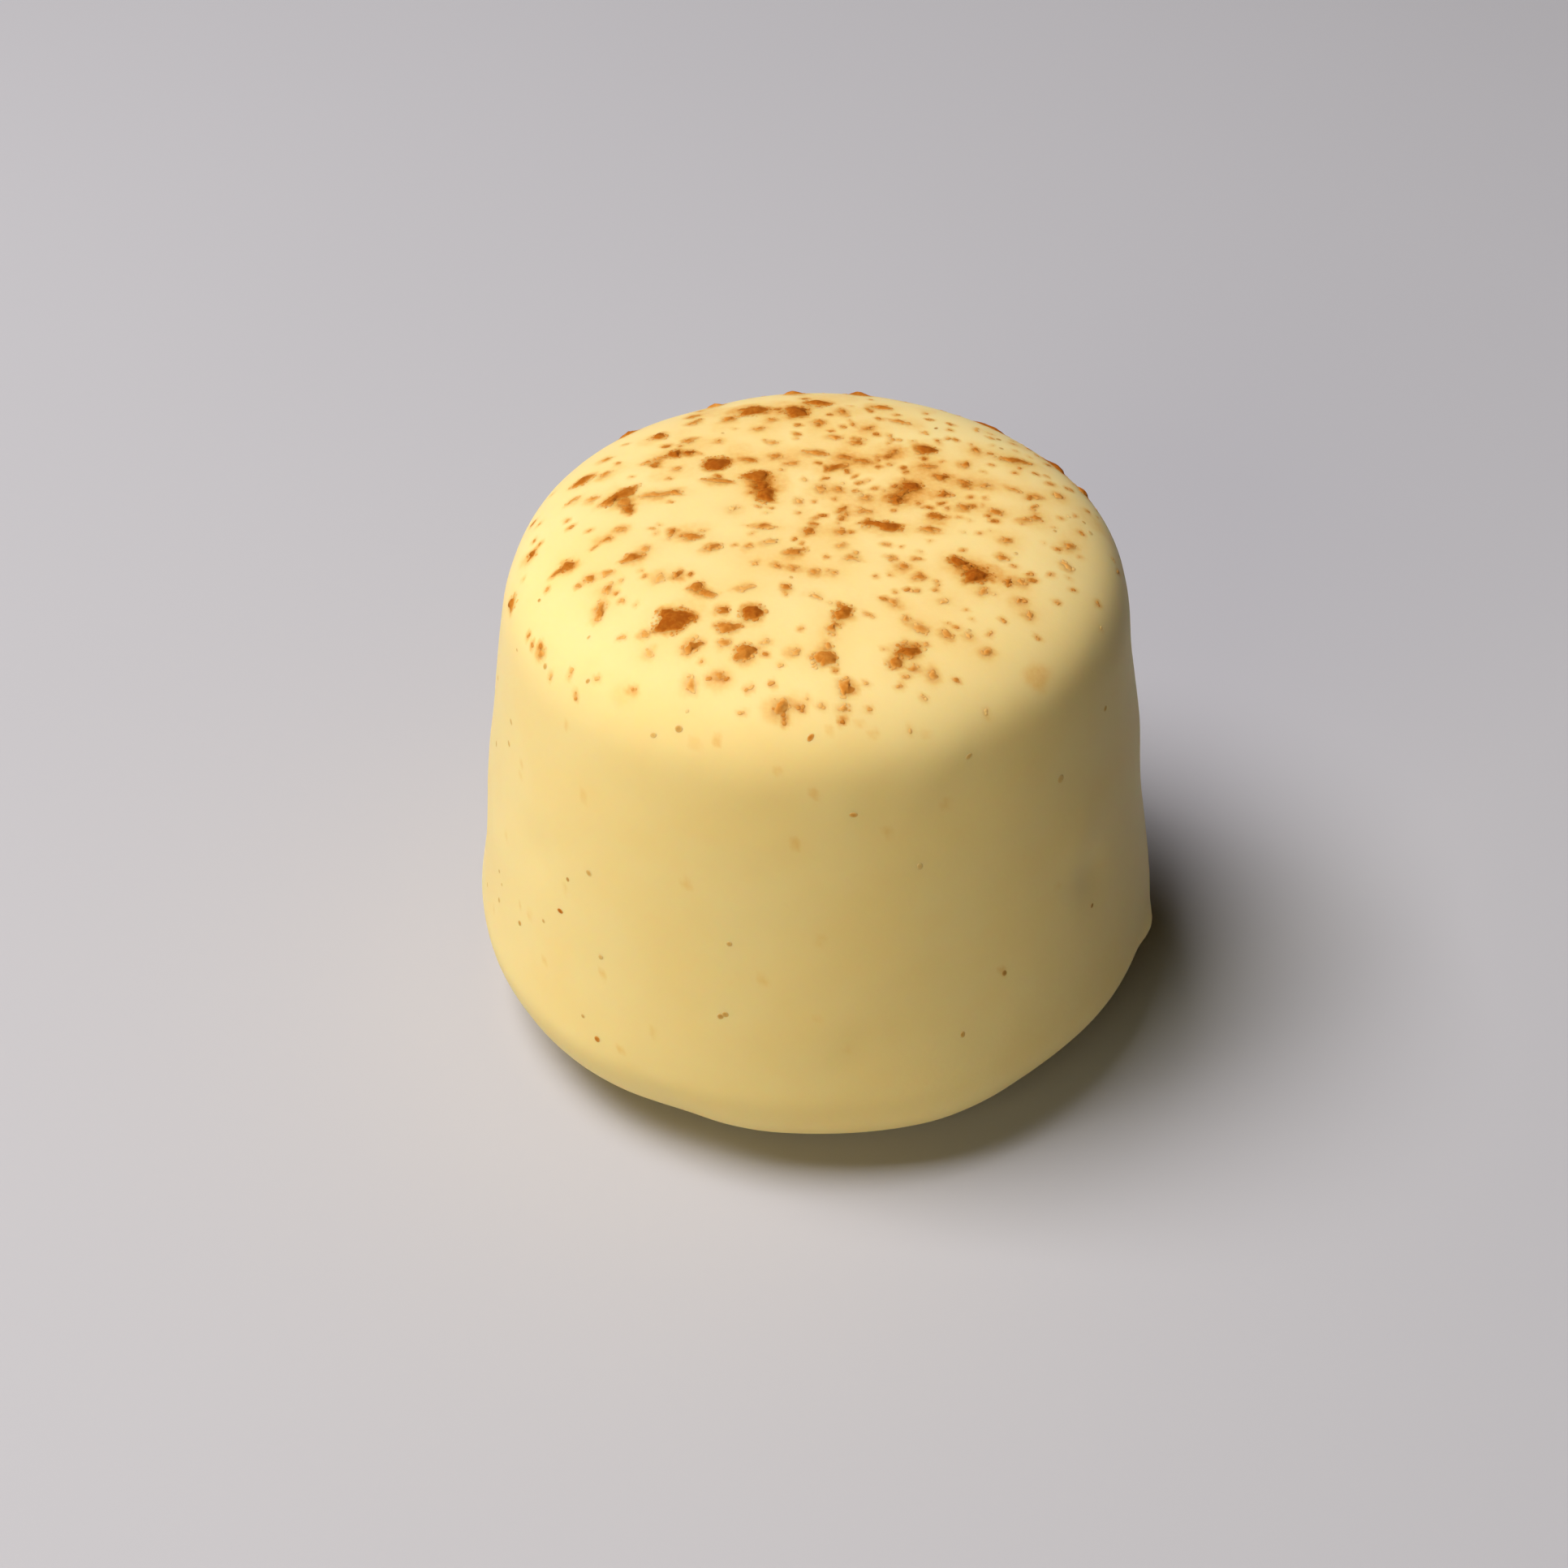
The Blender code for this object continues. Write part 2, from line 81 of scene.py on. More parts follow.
# Swellings and dents of the hand-dipped coating: azimuth in degrees (0 is +X, -90 the front),
# height, reach and how far the surface is pushed out, in millimetres
SWELLINGS = [
    (-70, 1.6, 1.9, 0.10),
    (-137, 2.0, 2.6, 0.09),
    (-158, 2.8, 1.5, 0.05),
    (180, 7.6, 1.4, 0.07),
    (-2, 9.0, 1.2, 0.06),
    (18, 14.2, 1.8, 0.04),
    (-38, 9.1, 0.8, 0.05),
    (-162, 6.6, 0.9, 0.03),
    (-66, 13.4, 1.0, 0.03),
    (-86, 5.6, 0.8, 0.02),
    (62, 5.0, 2.4, 0.07),
    (128, 9.5, 2.0, 0.05),
]
DENTS = [
    (-48, 1.7, 2.0, -0.09),
    (-114, 1.6, 1.4, -0.13),
    (180, 4.8, 1.3, -0.06),
    (172, 13.5, 1.6, -0.06),
    (-3, 11.4, 1.2, -0.04),
    (-3, 6.6, 1.4, -0.04),
    (115, 14.9, 1.2, -0.05),
    (-36, 7.7, 0.7, -0.10),
    (-144, 8.3, 0.9, -0.05),
    (-65, 12.4, 0.9, -0.04),
    (-84, 4.8, 0.8, -0.03),
    (95, 2.0, 2.2, -0.08),
    (40, 11.5, 1.6, -0.05),
]
# A small pinched drip low on the right
DRIP = (-13, 2.7, 0.60, 0.20)
# A swelling is nothing beyond this many reaches
SWELLING_END = 3.0
# Below this height the swellings fade out, so that the base stays flat
FOOT_FADE = 1.0
# The coating's slow waviness, and the finer ripple that the solid is too coarse for
WAVE_LENGTH = 4.5
WAVE_DEPTH = 0.03
RIPPLE_LENGTH = 1.1
RIPPLE_DEPTH = 0.010

# The largest powder clumps on the top: place across, place back, length, width in millimetres,
# turn in degrees, and darkness
FRONT_CLUMPS = [
    (-3.7, -4.4, 0.95, 0.80, 10, 0.95),
    (-1.6, -4.3, 0.62, 0.48, 15, 0.95),
    (-2.42, -4.15, 0.34, 0.26, 10, 0.75),
    (-2.25, -4.85, 0.66, 0.32, 175, 0.65),
    (-3.15, -5.4, 0.52, 0.42, 50, 0.55),
    (-1.8, -5.7, 0.60, 0.46, 40, 0.62),
    (-0.85, -7.35, 0.45, 0.40, 120, 0.42),
    (0.7, -4.3, 0.65, 0.40, 25, 0.82),
    (0.5, -4.9, 0.46, 0.28, 75, 0.55),
    (0.2, -6.05, 0.58, 0.44, 10, 0.60),
    (2.4, -5.65, 0.72, 0.40, 12, 0.85),
    (2.05, -6.05, 0.50, 0.32, 60, 0.60),
    (0.8, -6.85, 0.46, 0.34, 90, 0.48),
]
MIDDLE_CLUMPS = [
    (3.78, -2.08, 0.42, 0.40, 0, 0.92),
    (4.3, -2.58, 0.82, 0.58, 22, 0.98),
    (-6.63, -1.6, 0.42, 0.36, 30, 0.72),
    (-5.5, -2.9, 0.36, 0.20, 75, 0.45),
    (-5.65, -3.6, 0.72, 0.24, 82, 0.55),
    (-4.85, -1.8, 0.48, 0.28, 12, 0.68),
    (-5.65, -0.8, 0.34, 0.22, 30, 0.48),
    (-3.3, -1.02, 0.58, 0.28, 175, 0.48),
    (-2.68, -1.5, 0.46, 0.24, 15, 0.50),
    (-3.1, -3.15, 0.42, 0.34, 20, 0.62),
    (-3.65, -2.6, 0.34, 0.28, 10, 0.62),
    (-0.5, -1.7, 0.60, 0.25, 15, 0.60),
    (1.85, -0.5, 1.10, 0.40, 176, 0.92),
    (3.05, -0.65, 0.52, 0.22, 170, 0.55),
    (3.35, -0.03, 0.42, 0.30, 165, 0.62),
]
BACK_CLUMPS = [
    (-1.6, 1.85, 0.78, 0.52, 165, 0.80),
    (-1.35, 1.0, 0.80, 0.46, 100, 0.90),
    (-2.75, 2.6, 0.72, 0.62, 170, 0.98),
    (-3.97, 3.2, 0.46, 0.42, 20, 0.88),
    (-3.52, 3.22, 0.30, 0.26, 0, 0.95),
    (-4.48, 4.42, 0.46, 0.42, 30, 0.82),
    (-5.4, 1.25, 1.22, 0.34, 38, 0.78),
    (-5.1, 0.55, 0.48, 0.20, 95, 0.72),
    (-4.35, 1.15, 0.85, 0.14, 3, 0.38),
    (-3.8, 1.18, 0.36, 0.22, 170, 0.50),
    (-6.5, 2.6, 0.72, 0.38, 38, 0.72),
    (-1.8, 5.7, 0.95, 0.62, 35, 0.82),
    (-2.45, 5.25, 0.42, 0.26, 10, 0.55),
    (-0.5, 5.5, 0.70, 0.62, 100, 0.88),
    (0.05, 6.1, 0.68, 0.42, 170, 0.80),
    (0.0, 3.12, 0.66, 0.22, 170, 0.58),
    (2.62, 1.4, 0.64, 0.38, 170, 0.92),
    (2.25, 0.7, 0.44, 0.34, 60, 0.72),
    (3.1, 3.3, 0.46, 0.40, 5, 0.92),
    (3.5, 1.9, 0.42, 0.28, 0, 0.75),
    (3.55, 1.1, 0.38, 0.32, 20, 0.65),
    (5.6, 3.28, 0.92, 0.24, 3, 0.68),
    (1.9, 5.9, 0.46, 0.32, 165, 0.62),
]
RIM_CLUMPS = [
    (5.15, 6.1, 1.20, 0.50, 140, 0.85),
    (6.85, 4.15, 0.90, 0.50, 121, 0.90),
    (7.5, 3.15, 0.80, 0.42, 112, 0.72),
    (1.25, 7.4, 0.85, 0.50, 170, 0.70),
    (-0.6, 7.4, 0.60, 0.42, 5, 0.60),
    (-2.9, 6.9, 0.55, 0.42, 22, 0.55),
    (-5.4, 5.6, 0.62, 0.42, 44, 0.72),
    (-8.25, -1.6, 0.50, 0.36, 100, 0.70),
    (-7.75, -0.35, 0.36, 0.30, 95, 0.75),
]
CLUMPS = FRONT_CLUMPS + MIDDLE_CLUMPS + BACK_CLUMPS + RIM_CLUMPS
# A clump stands this share of its width above the coating, and no more than the limit
CLUMP_RISE = 0.19
CLUMP_RISE_LIMIT = 0.085
# How much a clump's edge wanders, how finely, and how unlike its neighbours' it is
CLUMP_ROUGHNESS = 0.75
ROUGH_FINENESS = 2.3
ROUGH_VARIETY = 3.1
# This share of its half height is under the coating, so that its widest part is hidden
CLUMP_SINK = 0.30
CLUMP_SIDES = 10
SIDE_TURNS = [2 * math.pi * side / CLUMP_SIDES for side in range(CLUMP_SIDES + 1)]

# The smaller flakes between them, in the same terms
FRONT_FLAKES = [
    (-0.77, -3.27, 0.28, 0.22, 130, 0.62),
    (-1.85, -3.25, 0.46, 0.15, 15, 0.25),
    (-0.03, -3.68, 0.34, 0.20, 160, 0.38),
    (-2.78, -3.5, 0.38, 0.30, 160, 0.50),
    (-3.25, -4.4, 0.32, 0.22, 10, 0.55),
    (2.07, -3.87, 0.30, 0.18, 150, 0.42),
    (2.37, -4.47, 0.22, 0.20, 0, 0.45),
    (2.68, -4.8, 0.34, 0.22, 165, 0.48),
    (3.42, -5.0, 0.34, 0.20, 125, 0.42),
    (4.0, -4.95, 0.22, 0.18, 30, 0.28),
    (3.33, -3.75, 0.24, 0.18, 20, 0.32),
    (4.4, -3.25, 0.28, 0.18, 60, 0.42),
    (5.37, -3.42, 0.20, 0.18, 0, 0.40),
    (5.6, -3.85, 0.22, 0.17, 100, 0.38),
    (4.45, -5.4, 0.22, 0.20, 0, 0.40),
    (3.0, -6.35, 0.28, 0.20, 90, 0.42),
    (0.32, -5.52, 0.25, 0.18, 95, 0.48),
    (-1.3, -5.4, 0.22, 0.17, 20, 0.32),
    (-2.35, -5.4, 0.30, 0.22, 80, 0.45),
    (-0.47, -5.75, 0.20, 0.18, 0, 0.28),
    (-2.5, -6.4, 0.24, 0.18, 110, 0.35),
    (-3.13, -6.55, 0.42, 0.20, 95, 0.36),
    (0.72, -7.4, 0.26, 0.22, 170, 0.42),
    (2.55, -6.15, 0.24, 0.18, 0, 0.35),
    (-4.35, -4.8, 0.28, 0.18, 25, 0.30),
    (-4.3, -5.42, 0.24, 0.18, 90, 0.26),
    (-7.25, -4.05, 0.28, 0.18, 0, 0.32),
]
MIDDLE_FLAKES = [
    (-0.1, -0.73, 0.30, 0.26, 10, 0.52),
    (0.66, -0.78, 0.26, 0.20, 140, 0.50),
    (0.7, -1.5, 0.22, 0.18, 0, 0.32),
    (-1.2, -1.25, 0.30, 0.20, 0, 0.32),
    (-1.35, -0.55, 0.72, 0.14, 175, 0.30),
    (-1.75, -1.42, 0.22, 0.16, 0, 0.25),
    (-0.97, -2.32, 0.26, 0.22, 160, 0.52),
    (-0.53, -2.37, 0.22, 0.16, 0, 0.36),
    (-1.6, -2.2, 0.22, 0.17, 60, 0.38),
    (-0.03, -2.62, 0.26, 0.20, 170, 0.45),
    (0.55, -2.67, 0.20, 0.16, 10, 0.38),
    (1.0, -2.05, 0.46, 0.14, 170, 0.36),
    (2.33, -2.33, 0.24, 0.22, 0, 0.52),
    (2.78, -2.78, 0.28, 0.22, 30, 0.50),
    (-3.87, -0.72, 0.28, 0.20, 70, 0.62),
    (-5.27, -0.45, 0.25, 0.20, 0, 0.42),
    (-4.55, -1.45, 0.24, 0.20, 40, 0.42),
    (-5.53, -2.28, 0.25, 0.18, 170, 0.45),
    (-6.0, -2.35, 0.28, 0.25, 40, 0.62),
    (-4.1, -2.75, 0.34, 0.20, 80, 0.28),
    (5.13, -2.68, 0.28, 0.22, 20, 0.60),
    (5.5, -2.65, 0.18, 0.16, 0, 0.48),
    (5.0, -1.72, 0.28, 0.20, 25, 0.52),
    (5.15, -0.92, 0.30, 0.20, 160, 0.48),
    (6.92, -0.68, 0.28, 0.26, 0, 0.50),
    (6.7, -1.55, 0.34, 0.22, 155, 0.32),
    (4.92, 0.33, 0.36, 0.24, 165, 0.58),
    (4.07, 0.45, 0.32, 0.20, 155, 0.50),
    (6.1, 0.3, 0.25, 0.22, 0, 0.60),
    (5.72, 0.12, 0.30, 0.18, 155, 0.50),
    (0.76, 0.28, 0.26, 0.22, 20, 0.52),
    (1.35, 0.12, 0.38, 0.14, 20, 0.40),
    (-0.4, 0.62, 0.22, 0.18, 160, 0.38),
    (0.6, 1.15, 0.24, 0.18, 150, 0.42),
    (0.15, 1.2, 0.34, 0.18, 95, 0.36),
    (1.4, 0.85, 0.22, 0.17, 0, 0.22),
    (-2.2, 0.28, 0.26, 0.22, 60, 0.20),
]
BACK_FLAKES = [
    (-6.7, 1.55, 0.44, 0.15, 40, 0.45),
    (-6.15, 1.35, 0.28, 0.20, 165, 0.45),
    (-5.87, 3.6, 0.30, 0.18, 15, 0.55),
    (-5.8, 2.6, 0.30, 0.20, 45, 0.40),
    (-4.4, 3.1, 0.28, 0.22, 20, 0.42),
    (-4.75, 2.85, 0.28, 0.15, 25, 0.45),
    (-4.4, 2.8, 0.18, 0.16, 0, 0.45),
    (-3.9, 2.38, 0.20, 0.15, 30, 0.38),
    (-3.55, 3.95, 0.40, 0.16, 22, 0.50),
    (-3.55, 5.15, 0.30, 0.24, 0, 0.40),
    (-3.55, 5.75, 0.28, 0.15, 10, 0.50),
    (-2.6, 1.62, 0.72, 0.15, 167, 0.48),
    (-1.85, 2.77, 0.34, 0.20, 165, 0.60),
    (-1.1, 2.92, 0.30, 0.20, 0, 0.55),
    (-0.62, 2.48, 0.22, 0.16, 150, 0.42),
    (-1.2, 3.65, 0.28, 0.16, 0, 0.38),
    (-2.72, 3.85, 0.22, 0.15, 0, 0.50),
    (-1.55, 4.48, 0.30, 0.18, 5, 0.48),
    (-1.2, 5.0, 0.30, 0.17, 15, 0.52),
    (0.84, 2.86, 0.34, 0.18, 170, 0.60),
    (1.32, 2.62, 0.46, 0.18, 170, 0.60),
    (0.6, 2.32, 0.66, 0.18, 22, 0.58),
    (0.62, 3.93, 0.36, 0.22, 0, 0.52),
    (1.22, 3.6, 0.34, 0.18, 10, 0.60),
    (1.5, 4.48, 0.32, 0.18, 170, 0.48),
    (0.8, 5.48, 0.26, 0.22, 120, 0.58),
    (0.14, 4.8, 0.32, 0.20, 150, 0.50),
    (2.4, 4.97, 0.60, 0.18, 160, 0.50),
    (2.25, 3.15, 0.20, 0.15, 0, 0.42),
    (3.1, 2.42, 0.38, 0.16, 10, 0.52),
    (4.23, 2.65, 0.30, 0.24, 80, 0.65),
    (4.12, 1.68, 0.40, 0.18, 172, 0.55),
    (4.55, 3.5, 0.24, 0.16, 150, 0.28),
    (6.75, 1.75, 0.32, 0.22, 110, 0.42),
    (6.1, 1.38, 0.34, 0.18, 0, 0.38),
    (5.45, 1.6, 0.32, 0.15, 150, 0.30),
    (4.7, 1.65, 0.28, 0.17, 0, 0.25),
]
FLAKES = FRONT_FLAKES + MIDDLE_FLAKES + BACK_FLAKES

# What the solid is too coarse for: powder and stains are bent a little to one side, coarsely and finely, so
# that their edges are ragged: how long each bend is and how far it moves them, in millimetres
BENDS = [(0.50, 0.10), (0.20, 0.055), (0.09, 0.024)]
# The bends come from noise that differs in each run unless it is given a seed
BEND_SEED = 11
# A lump thins out softly towards its edge, and its top is uneven by this share of its rise, over this length
SHOULDER_SOFTNESS = 1.5
TOP_UNEVENNESS = 0.22
# A flake stands this share as high as in the solid: the photograph shows hardly any relief on it
FLAKE_SHARE = 0.65
TOP_LENGTH = 0.13
# Patches of darker and lighter powder, by size in millimetres and strength
TONE_LENGTH = 0.20
TONE_SPREAD = 0.16
# Powder is this share as dark at a lump's edge as inside, and darkens over this many millimetres inward
EDGE_TONE = 0.38
EDGE_SOFTNESS = 0.09
# Grains of powder in millimetres, how flat they lie, how many lie round a clump for its footprint, and
# where they lie: from just inside its edge to just past it
GRAIN_SIZES = (0.05, 0.11)
GRAIN_COVER = 0.40
GRAIN_BAND = (0.85, 1.30)
# A grain's darkness for its clump's, and how far it strays
GRAIN_TONE = 0.30
GRAIN_TONE_SPREAD = 0.05
# How flat a grain lies, and the share of its darkness that its rim has
GRAIN_FORM = (0.16, 0.5)
# How much longer or shorter than its size a grain is each way
GRAIN_STRETCH = (0.7, 1.3)
GRAIN_SEED = 23
# Powder is laid on the dome by a table read this closely down it, in millimetres
LAY_STEP = 0.01

# Faint flecks between the flakes: place across, place back, length, turn and darkness
FAINT_FLECKS = [
    (0.45, 4.33, 0.16, 0, 0.30), (-0.55, 3.9, 0.14, 0, 0.25), (1.75, 2.7, 0.15, 0, 0.35),
    (1.75, 2.35, 0.20, 20, 0.35), (0.3, 1.75, 0.22, 0, 0.28), (0.05, 2.5, 0.17, 0, 0.35),
    (0.72, -0.15, 0.16, 0, 0.40), (-0.5, 0.1, 0.15, 0, 0.32), (-1.35, 0.1, 0.15, 0, 0.12),
    (1.0, -0.85, 0.24, 0, 0.20), (1.9, -1.35, 0.24, 0, 0.18), (2.3, -1.47, 0.15, 0, 0.35),
    (0.9, -1.95, 0.20, 0, 0.20), (2.5, 2.05, 0.24, 0, 0.25), (2.02, 3.65, 0.15, 0, 0.30),
    (2.15, 0.2, 0.17, 0, 0.22), (-4.2, 3.75, 0.32, 0, 0.30), (-4.05, 1.95, 0.16, 0, 0.20),
    (-5.1, 2.15, 0.15, 0, 0.30), (-5.6, 3.1, 0.20, 0, 0.25), (-4.2, -0.35, 0.15, 0, 0.18),
    (-5.9, -1.15, 0.30, 20, 0.15), (-6.7, 0.15, 0.17, 20, 0.32), (-7.75, 0.35, 0.16, 90, 0.30),
    (-7.6, -0.05, 0.16, 90, 0.28), (3.25, 5.3, 0.32, 0, 0.25), (3.75, 4.05, 0.16, 0, 0.25),
    (4.95, 2.75, 0.17, 0, 0.25), (5.9, 1.28, 0.20, 0, 0.30), (6.0, 0.8, 0.36, 60, 0.15),
    (6.15, 2.7, 0.22, 150, 0.30), (6.75, 0.55, 0.20, 80, 0.20), (6.5, 0.0, 0.15, 0, 0.15),
    (6.55, -0.95, 0.18, 0, 0.32), (4.45, -0.75, 0.17, 0, 0.20), (4.1, -0.2, 0.15, 0, 0.12),
    (4.25, 0.95, 0.20, 0, 0.32), (3.15, 0.4, 0.26, 0, 0.35), (3.45, 0.6, 0.17, 0, 0.42),
    (4.55, 0.6, 0.12, 0, 0.15), (0.3, -1.95, 0.16, 0, 0.22), (2.05, -2.75, 0.15, 0, 0.30),
    (2.4, -3.3, 0.20, 20, 0.32), (1.4, -4.4, 0.36, 150, 0.10), (-0.35, -5.0, 0.24, 0, 0.14),
    (-0.9, -6.15, 0.20, 0, 0.12), (-2.3, -6.55, 0.18, 0, 0.25), (-1.6, -6.8, 0.20, 0, 0.12),
    (1.35, -7.35, 0.17, 0, 0.20), (0.75, -7.7, 0.20, 0, 0.45), (-0.45, -7.35, 0.17, 0, 0.18),
    (-0.15, -7.15, 0.15, 0, 0.18), (-0.75, -7.65, 0.24, 110, 0.30), (2.15, -6.75, 0.18, 0, 0.22),
    (-1.85, -7.4, 0.20, 0, 0.14), (1.3, -6.75, 0.20, 0, 0.14), (-6.95, -1.75, 0.38, 20, 0.30),
    (-4.55, -2.65, 0.18, 0, 0.25), (-4.65, -2.35, 0.14, 0, 0.20), (-4.75, -3.65, 0.14, 0, 0.14),
    (-5.0, -4.75, 0.30, 0, 0.12), (-5.65, -5.65, 0.20, 0, 0.12), (-4.65, -6.3, 0.16, 0, 0.14),
    (-7.15, -2.2, 0.16, 90, 0.25), (-2.75, -6.4, 0.20, 0, 0.15), (5.8, -2.55, 0.28, 0, 0.28),
    (5.25, -2.05, 0.20, 0, 0.22), (3.15, -3.3, 0.17, 0, 0.22), (3.65, -4.7, 0.20, 0, 0.30),
    (2.85, -5.35, 0.20, 0, 0.18), (3.6, -6.35, 0.22, 0, 0.25), (6.75, -2.05, 0.14, 0, 0.20),
    (2.1, 3.0, 0.14, 0, 0.25), (1.1, 1.85, 0.16, 60, 0.30), (1.6, 1.25, 0.16, 0, 0.25),
    (-0.9, 2.2, 0.14, 0, 0.20), (2.75, 3.7, 0.15, 0, 0.22), (3.0, 4.3, 0.14, 0, 0.20),
    (1.0, 4.9, 0.15, 0, 0.22), (2.35, 5.4, 0.20, 0, 0.28), (5.0, 3.95, 0.15, 0, 0.20),
    (7.0, 2.4, 0.20, 100, 0.30), (-2.3, 4.5, 0.14, 0, 0.18), (3.95, 5.1, 0.20, 0, 0.20),
]
# Dark greenish specks under the coating of the top: place across, place back, size and darkness
DARK_FLECKS = [
    (3.4, 4.65, 0.13, 0.9), (5.2, 4.5, 0.15, 0.7), (5.3, 3.9, 0.12, 0.5), (-7.42, -2.45, 0.13, 0.8),
    (-7.15, -4.4, 0.14, 0.6), (-5.88, -5.6, 0.14, 0.7), (-3.5, -7.4, 0.17, 0.7),
    (-4.1, -7.3, 0.15, 0.5), (-3.25, -7.15, 0.13, 0.3), (5.35, -1.45, 0.15, 0.4),
    (6.45, -0.2, 0.15, 0.5), (7.4, 0.75, 0.15, 0.6), (4.0, -4.75, 0.12, 0.4), (-0.65, -2.9, 0.13, 0.5),
    (-8.0, -3.1, 0.10, 0.5), (-5.93, -4.45, 0.11, 0.5), (3.9, -7.6, 0.17, 0.5), (-2.65, 4.3, 0.12, 0.5),
    (1.25, 0.95, 0.16, 0.3), (7.55, 0.45, 0.16, 0.4),
]

# The finest flecks, scattered: a short chain of grains each
FLECK_SEED = 5
FLECK_COUNT = 240
FLECK_REACH = 8.5
FLECK_CHAIN = (1, 3)
FLECK_STEP = 0.06
# How far a chain turns at each grain, in radians, in a scattered fleck and in one read from the photograph
FLECK_BEND = 0.9
FAINT_BEND = 0.5
FLECK_SIZES = (0.06, 0.12)
FLECK_TONES = (0.06, 0.38)
# How much of its darkness a fleck adds to the stain it lies in
FLECK_SHARE = 0.45
# The dusting is thickest behind the middle and to the right
THICK_PLACE = (2.9, 2.7)
THICK_REACH = 4.2
THIN_SHARE = 0.15

# A stain is worked out no further off than this share of its length, and this many runs
PATCH_REACH = 0.75
PATCH_END = 3
# Stains that the powder leaves in the coating: how far they run in millimetres, how strong they are
# beside it, and how far they are shifted, which is mostly to the front left
STAIN_RUN = 0.09
STAIN_SHIFT = (-0.05, -0.05)
HALO_STRENGTH = (0.04, 0.20)
# A halo runs this many times as far as the stain beside the powder
HALO_RUN = (0.8, 1.6)
FLECK_RUN = 0.08
FLECK_STAIN_SIZE = 0.06
# How strong a fleck's stain is, and how much stronger for its darkness
FLECK_STAIN = (0.05, 0.7)
# A faint haze of the finest dust round each clump, and in smears of its own: reach in millimetres and
# strength
HAZE_REACH = 0.40
HAZE_STRENGTH = (0.06, 0.20)
SMEAR_SEED = 41
SMEAR_COUNT = 100
SMEAR_PLACE = (0.6, 4.6)
SMEAR_SPREAD = (4.2, 2.6)
SMEAR_LENGTHS = (0.20, 0.80)
SMEAR_STRENGTH = (0.02, 0.09)
# How wide a smear is for its length, and how far it runs
SMEAR_SLIMNESS = (0.3, 0.8)
SMEAR_RUN = 0.20
# Smears that the photo shows: place across, place back, length, width, turn and strength
SMEARS = [
    (5.75, -5.55, 0.45, 0.35, 60, 0.16), (2.55, 0.95, 1.10, 0.75, 0, 0.13),
    (-1.3, 1.6, 1.00, 0.90, 0, 0.12), (1.6, 2.4, 1.20, 0.60, 0, 0.07),
    (-2.4, -6.5, 0.35, 0.30, 100, 0.16), (-0.6, -7.35, 0.40, 0.30, 0, 0.14),
    (3.0, 2.1, 0.80, 0.50, 0, 0.10), (-5.2, 0.9, 0.70, 0.40, 30, 0.12),
    (4.1, -2.4, 0.80, 0.50, 140, 0.14), (0.4, 6.6, 1.60, 0.70, 0, 0.10),
    (-2.9, 5.9, 1.20, 0.60, 0, 0.10), (-4.9, -6.3, 0.40, 0.30, 0, 0.07),
]
# Powder that joins neighbouring clumps, in the same terms, with darkness
JOINS = [
    (-1.45, 1.42, 0.52, 0.42, 100, 0.80), (4.02, -2.30, 0.36, 0.26, 140, 0.50),
    (2.42, 1.05, 0.40, 0.28, 60, 0.42), (-5.25, 0.90, 0.34, 0.24, 70, 0.45),
]

# How flat a speck lies, and the share of its darkness that its rim has. As its rim fades into the
# coating, it is this much wider than it looks
SPECK_FORM = (0.06, 0.2)
SPECK_WIDENING = 1.15
# Fainter specks than this lie under the coating, so they only stain it: how far they run in
# millimetres and how strong they are for their darkness
FAINT_SPECK = 0.33
SPECK_RUN = 0.05
SPECK_STRENGTH = 0.50
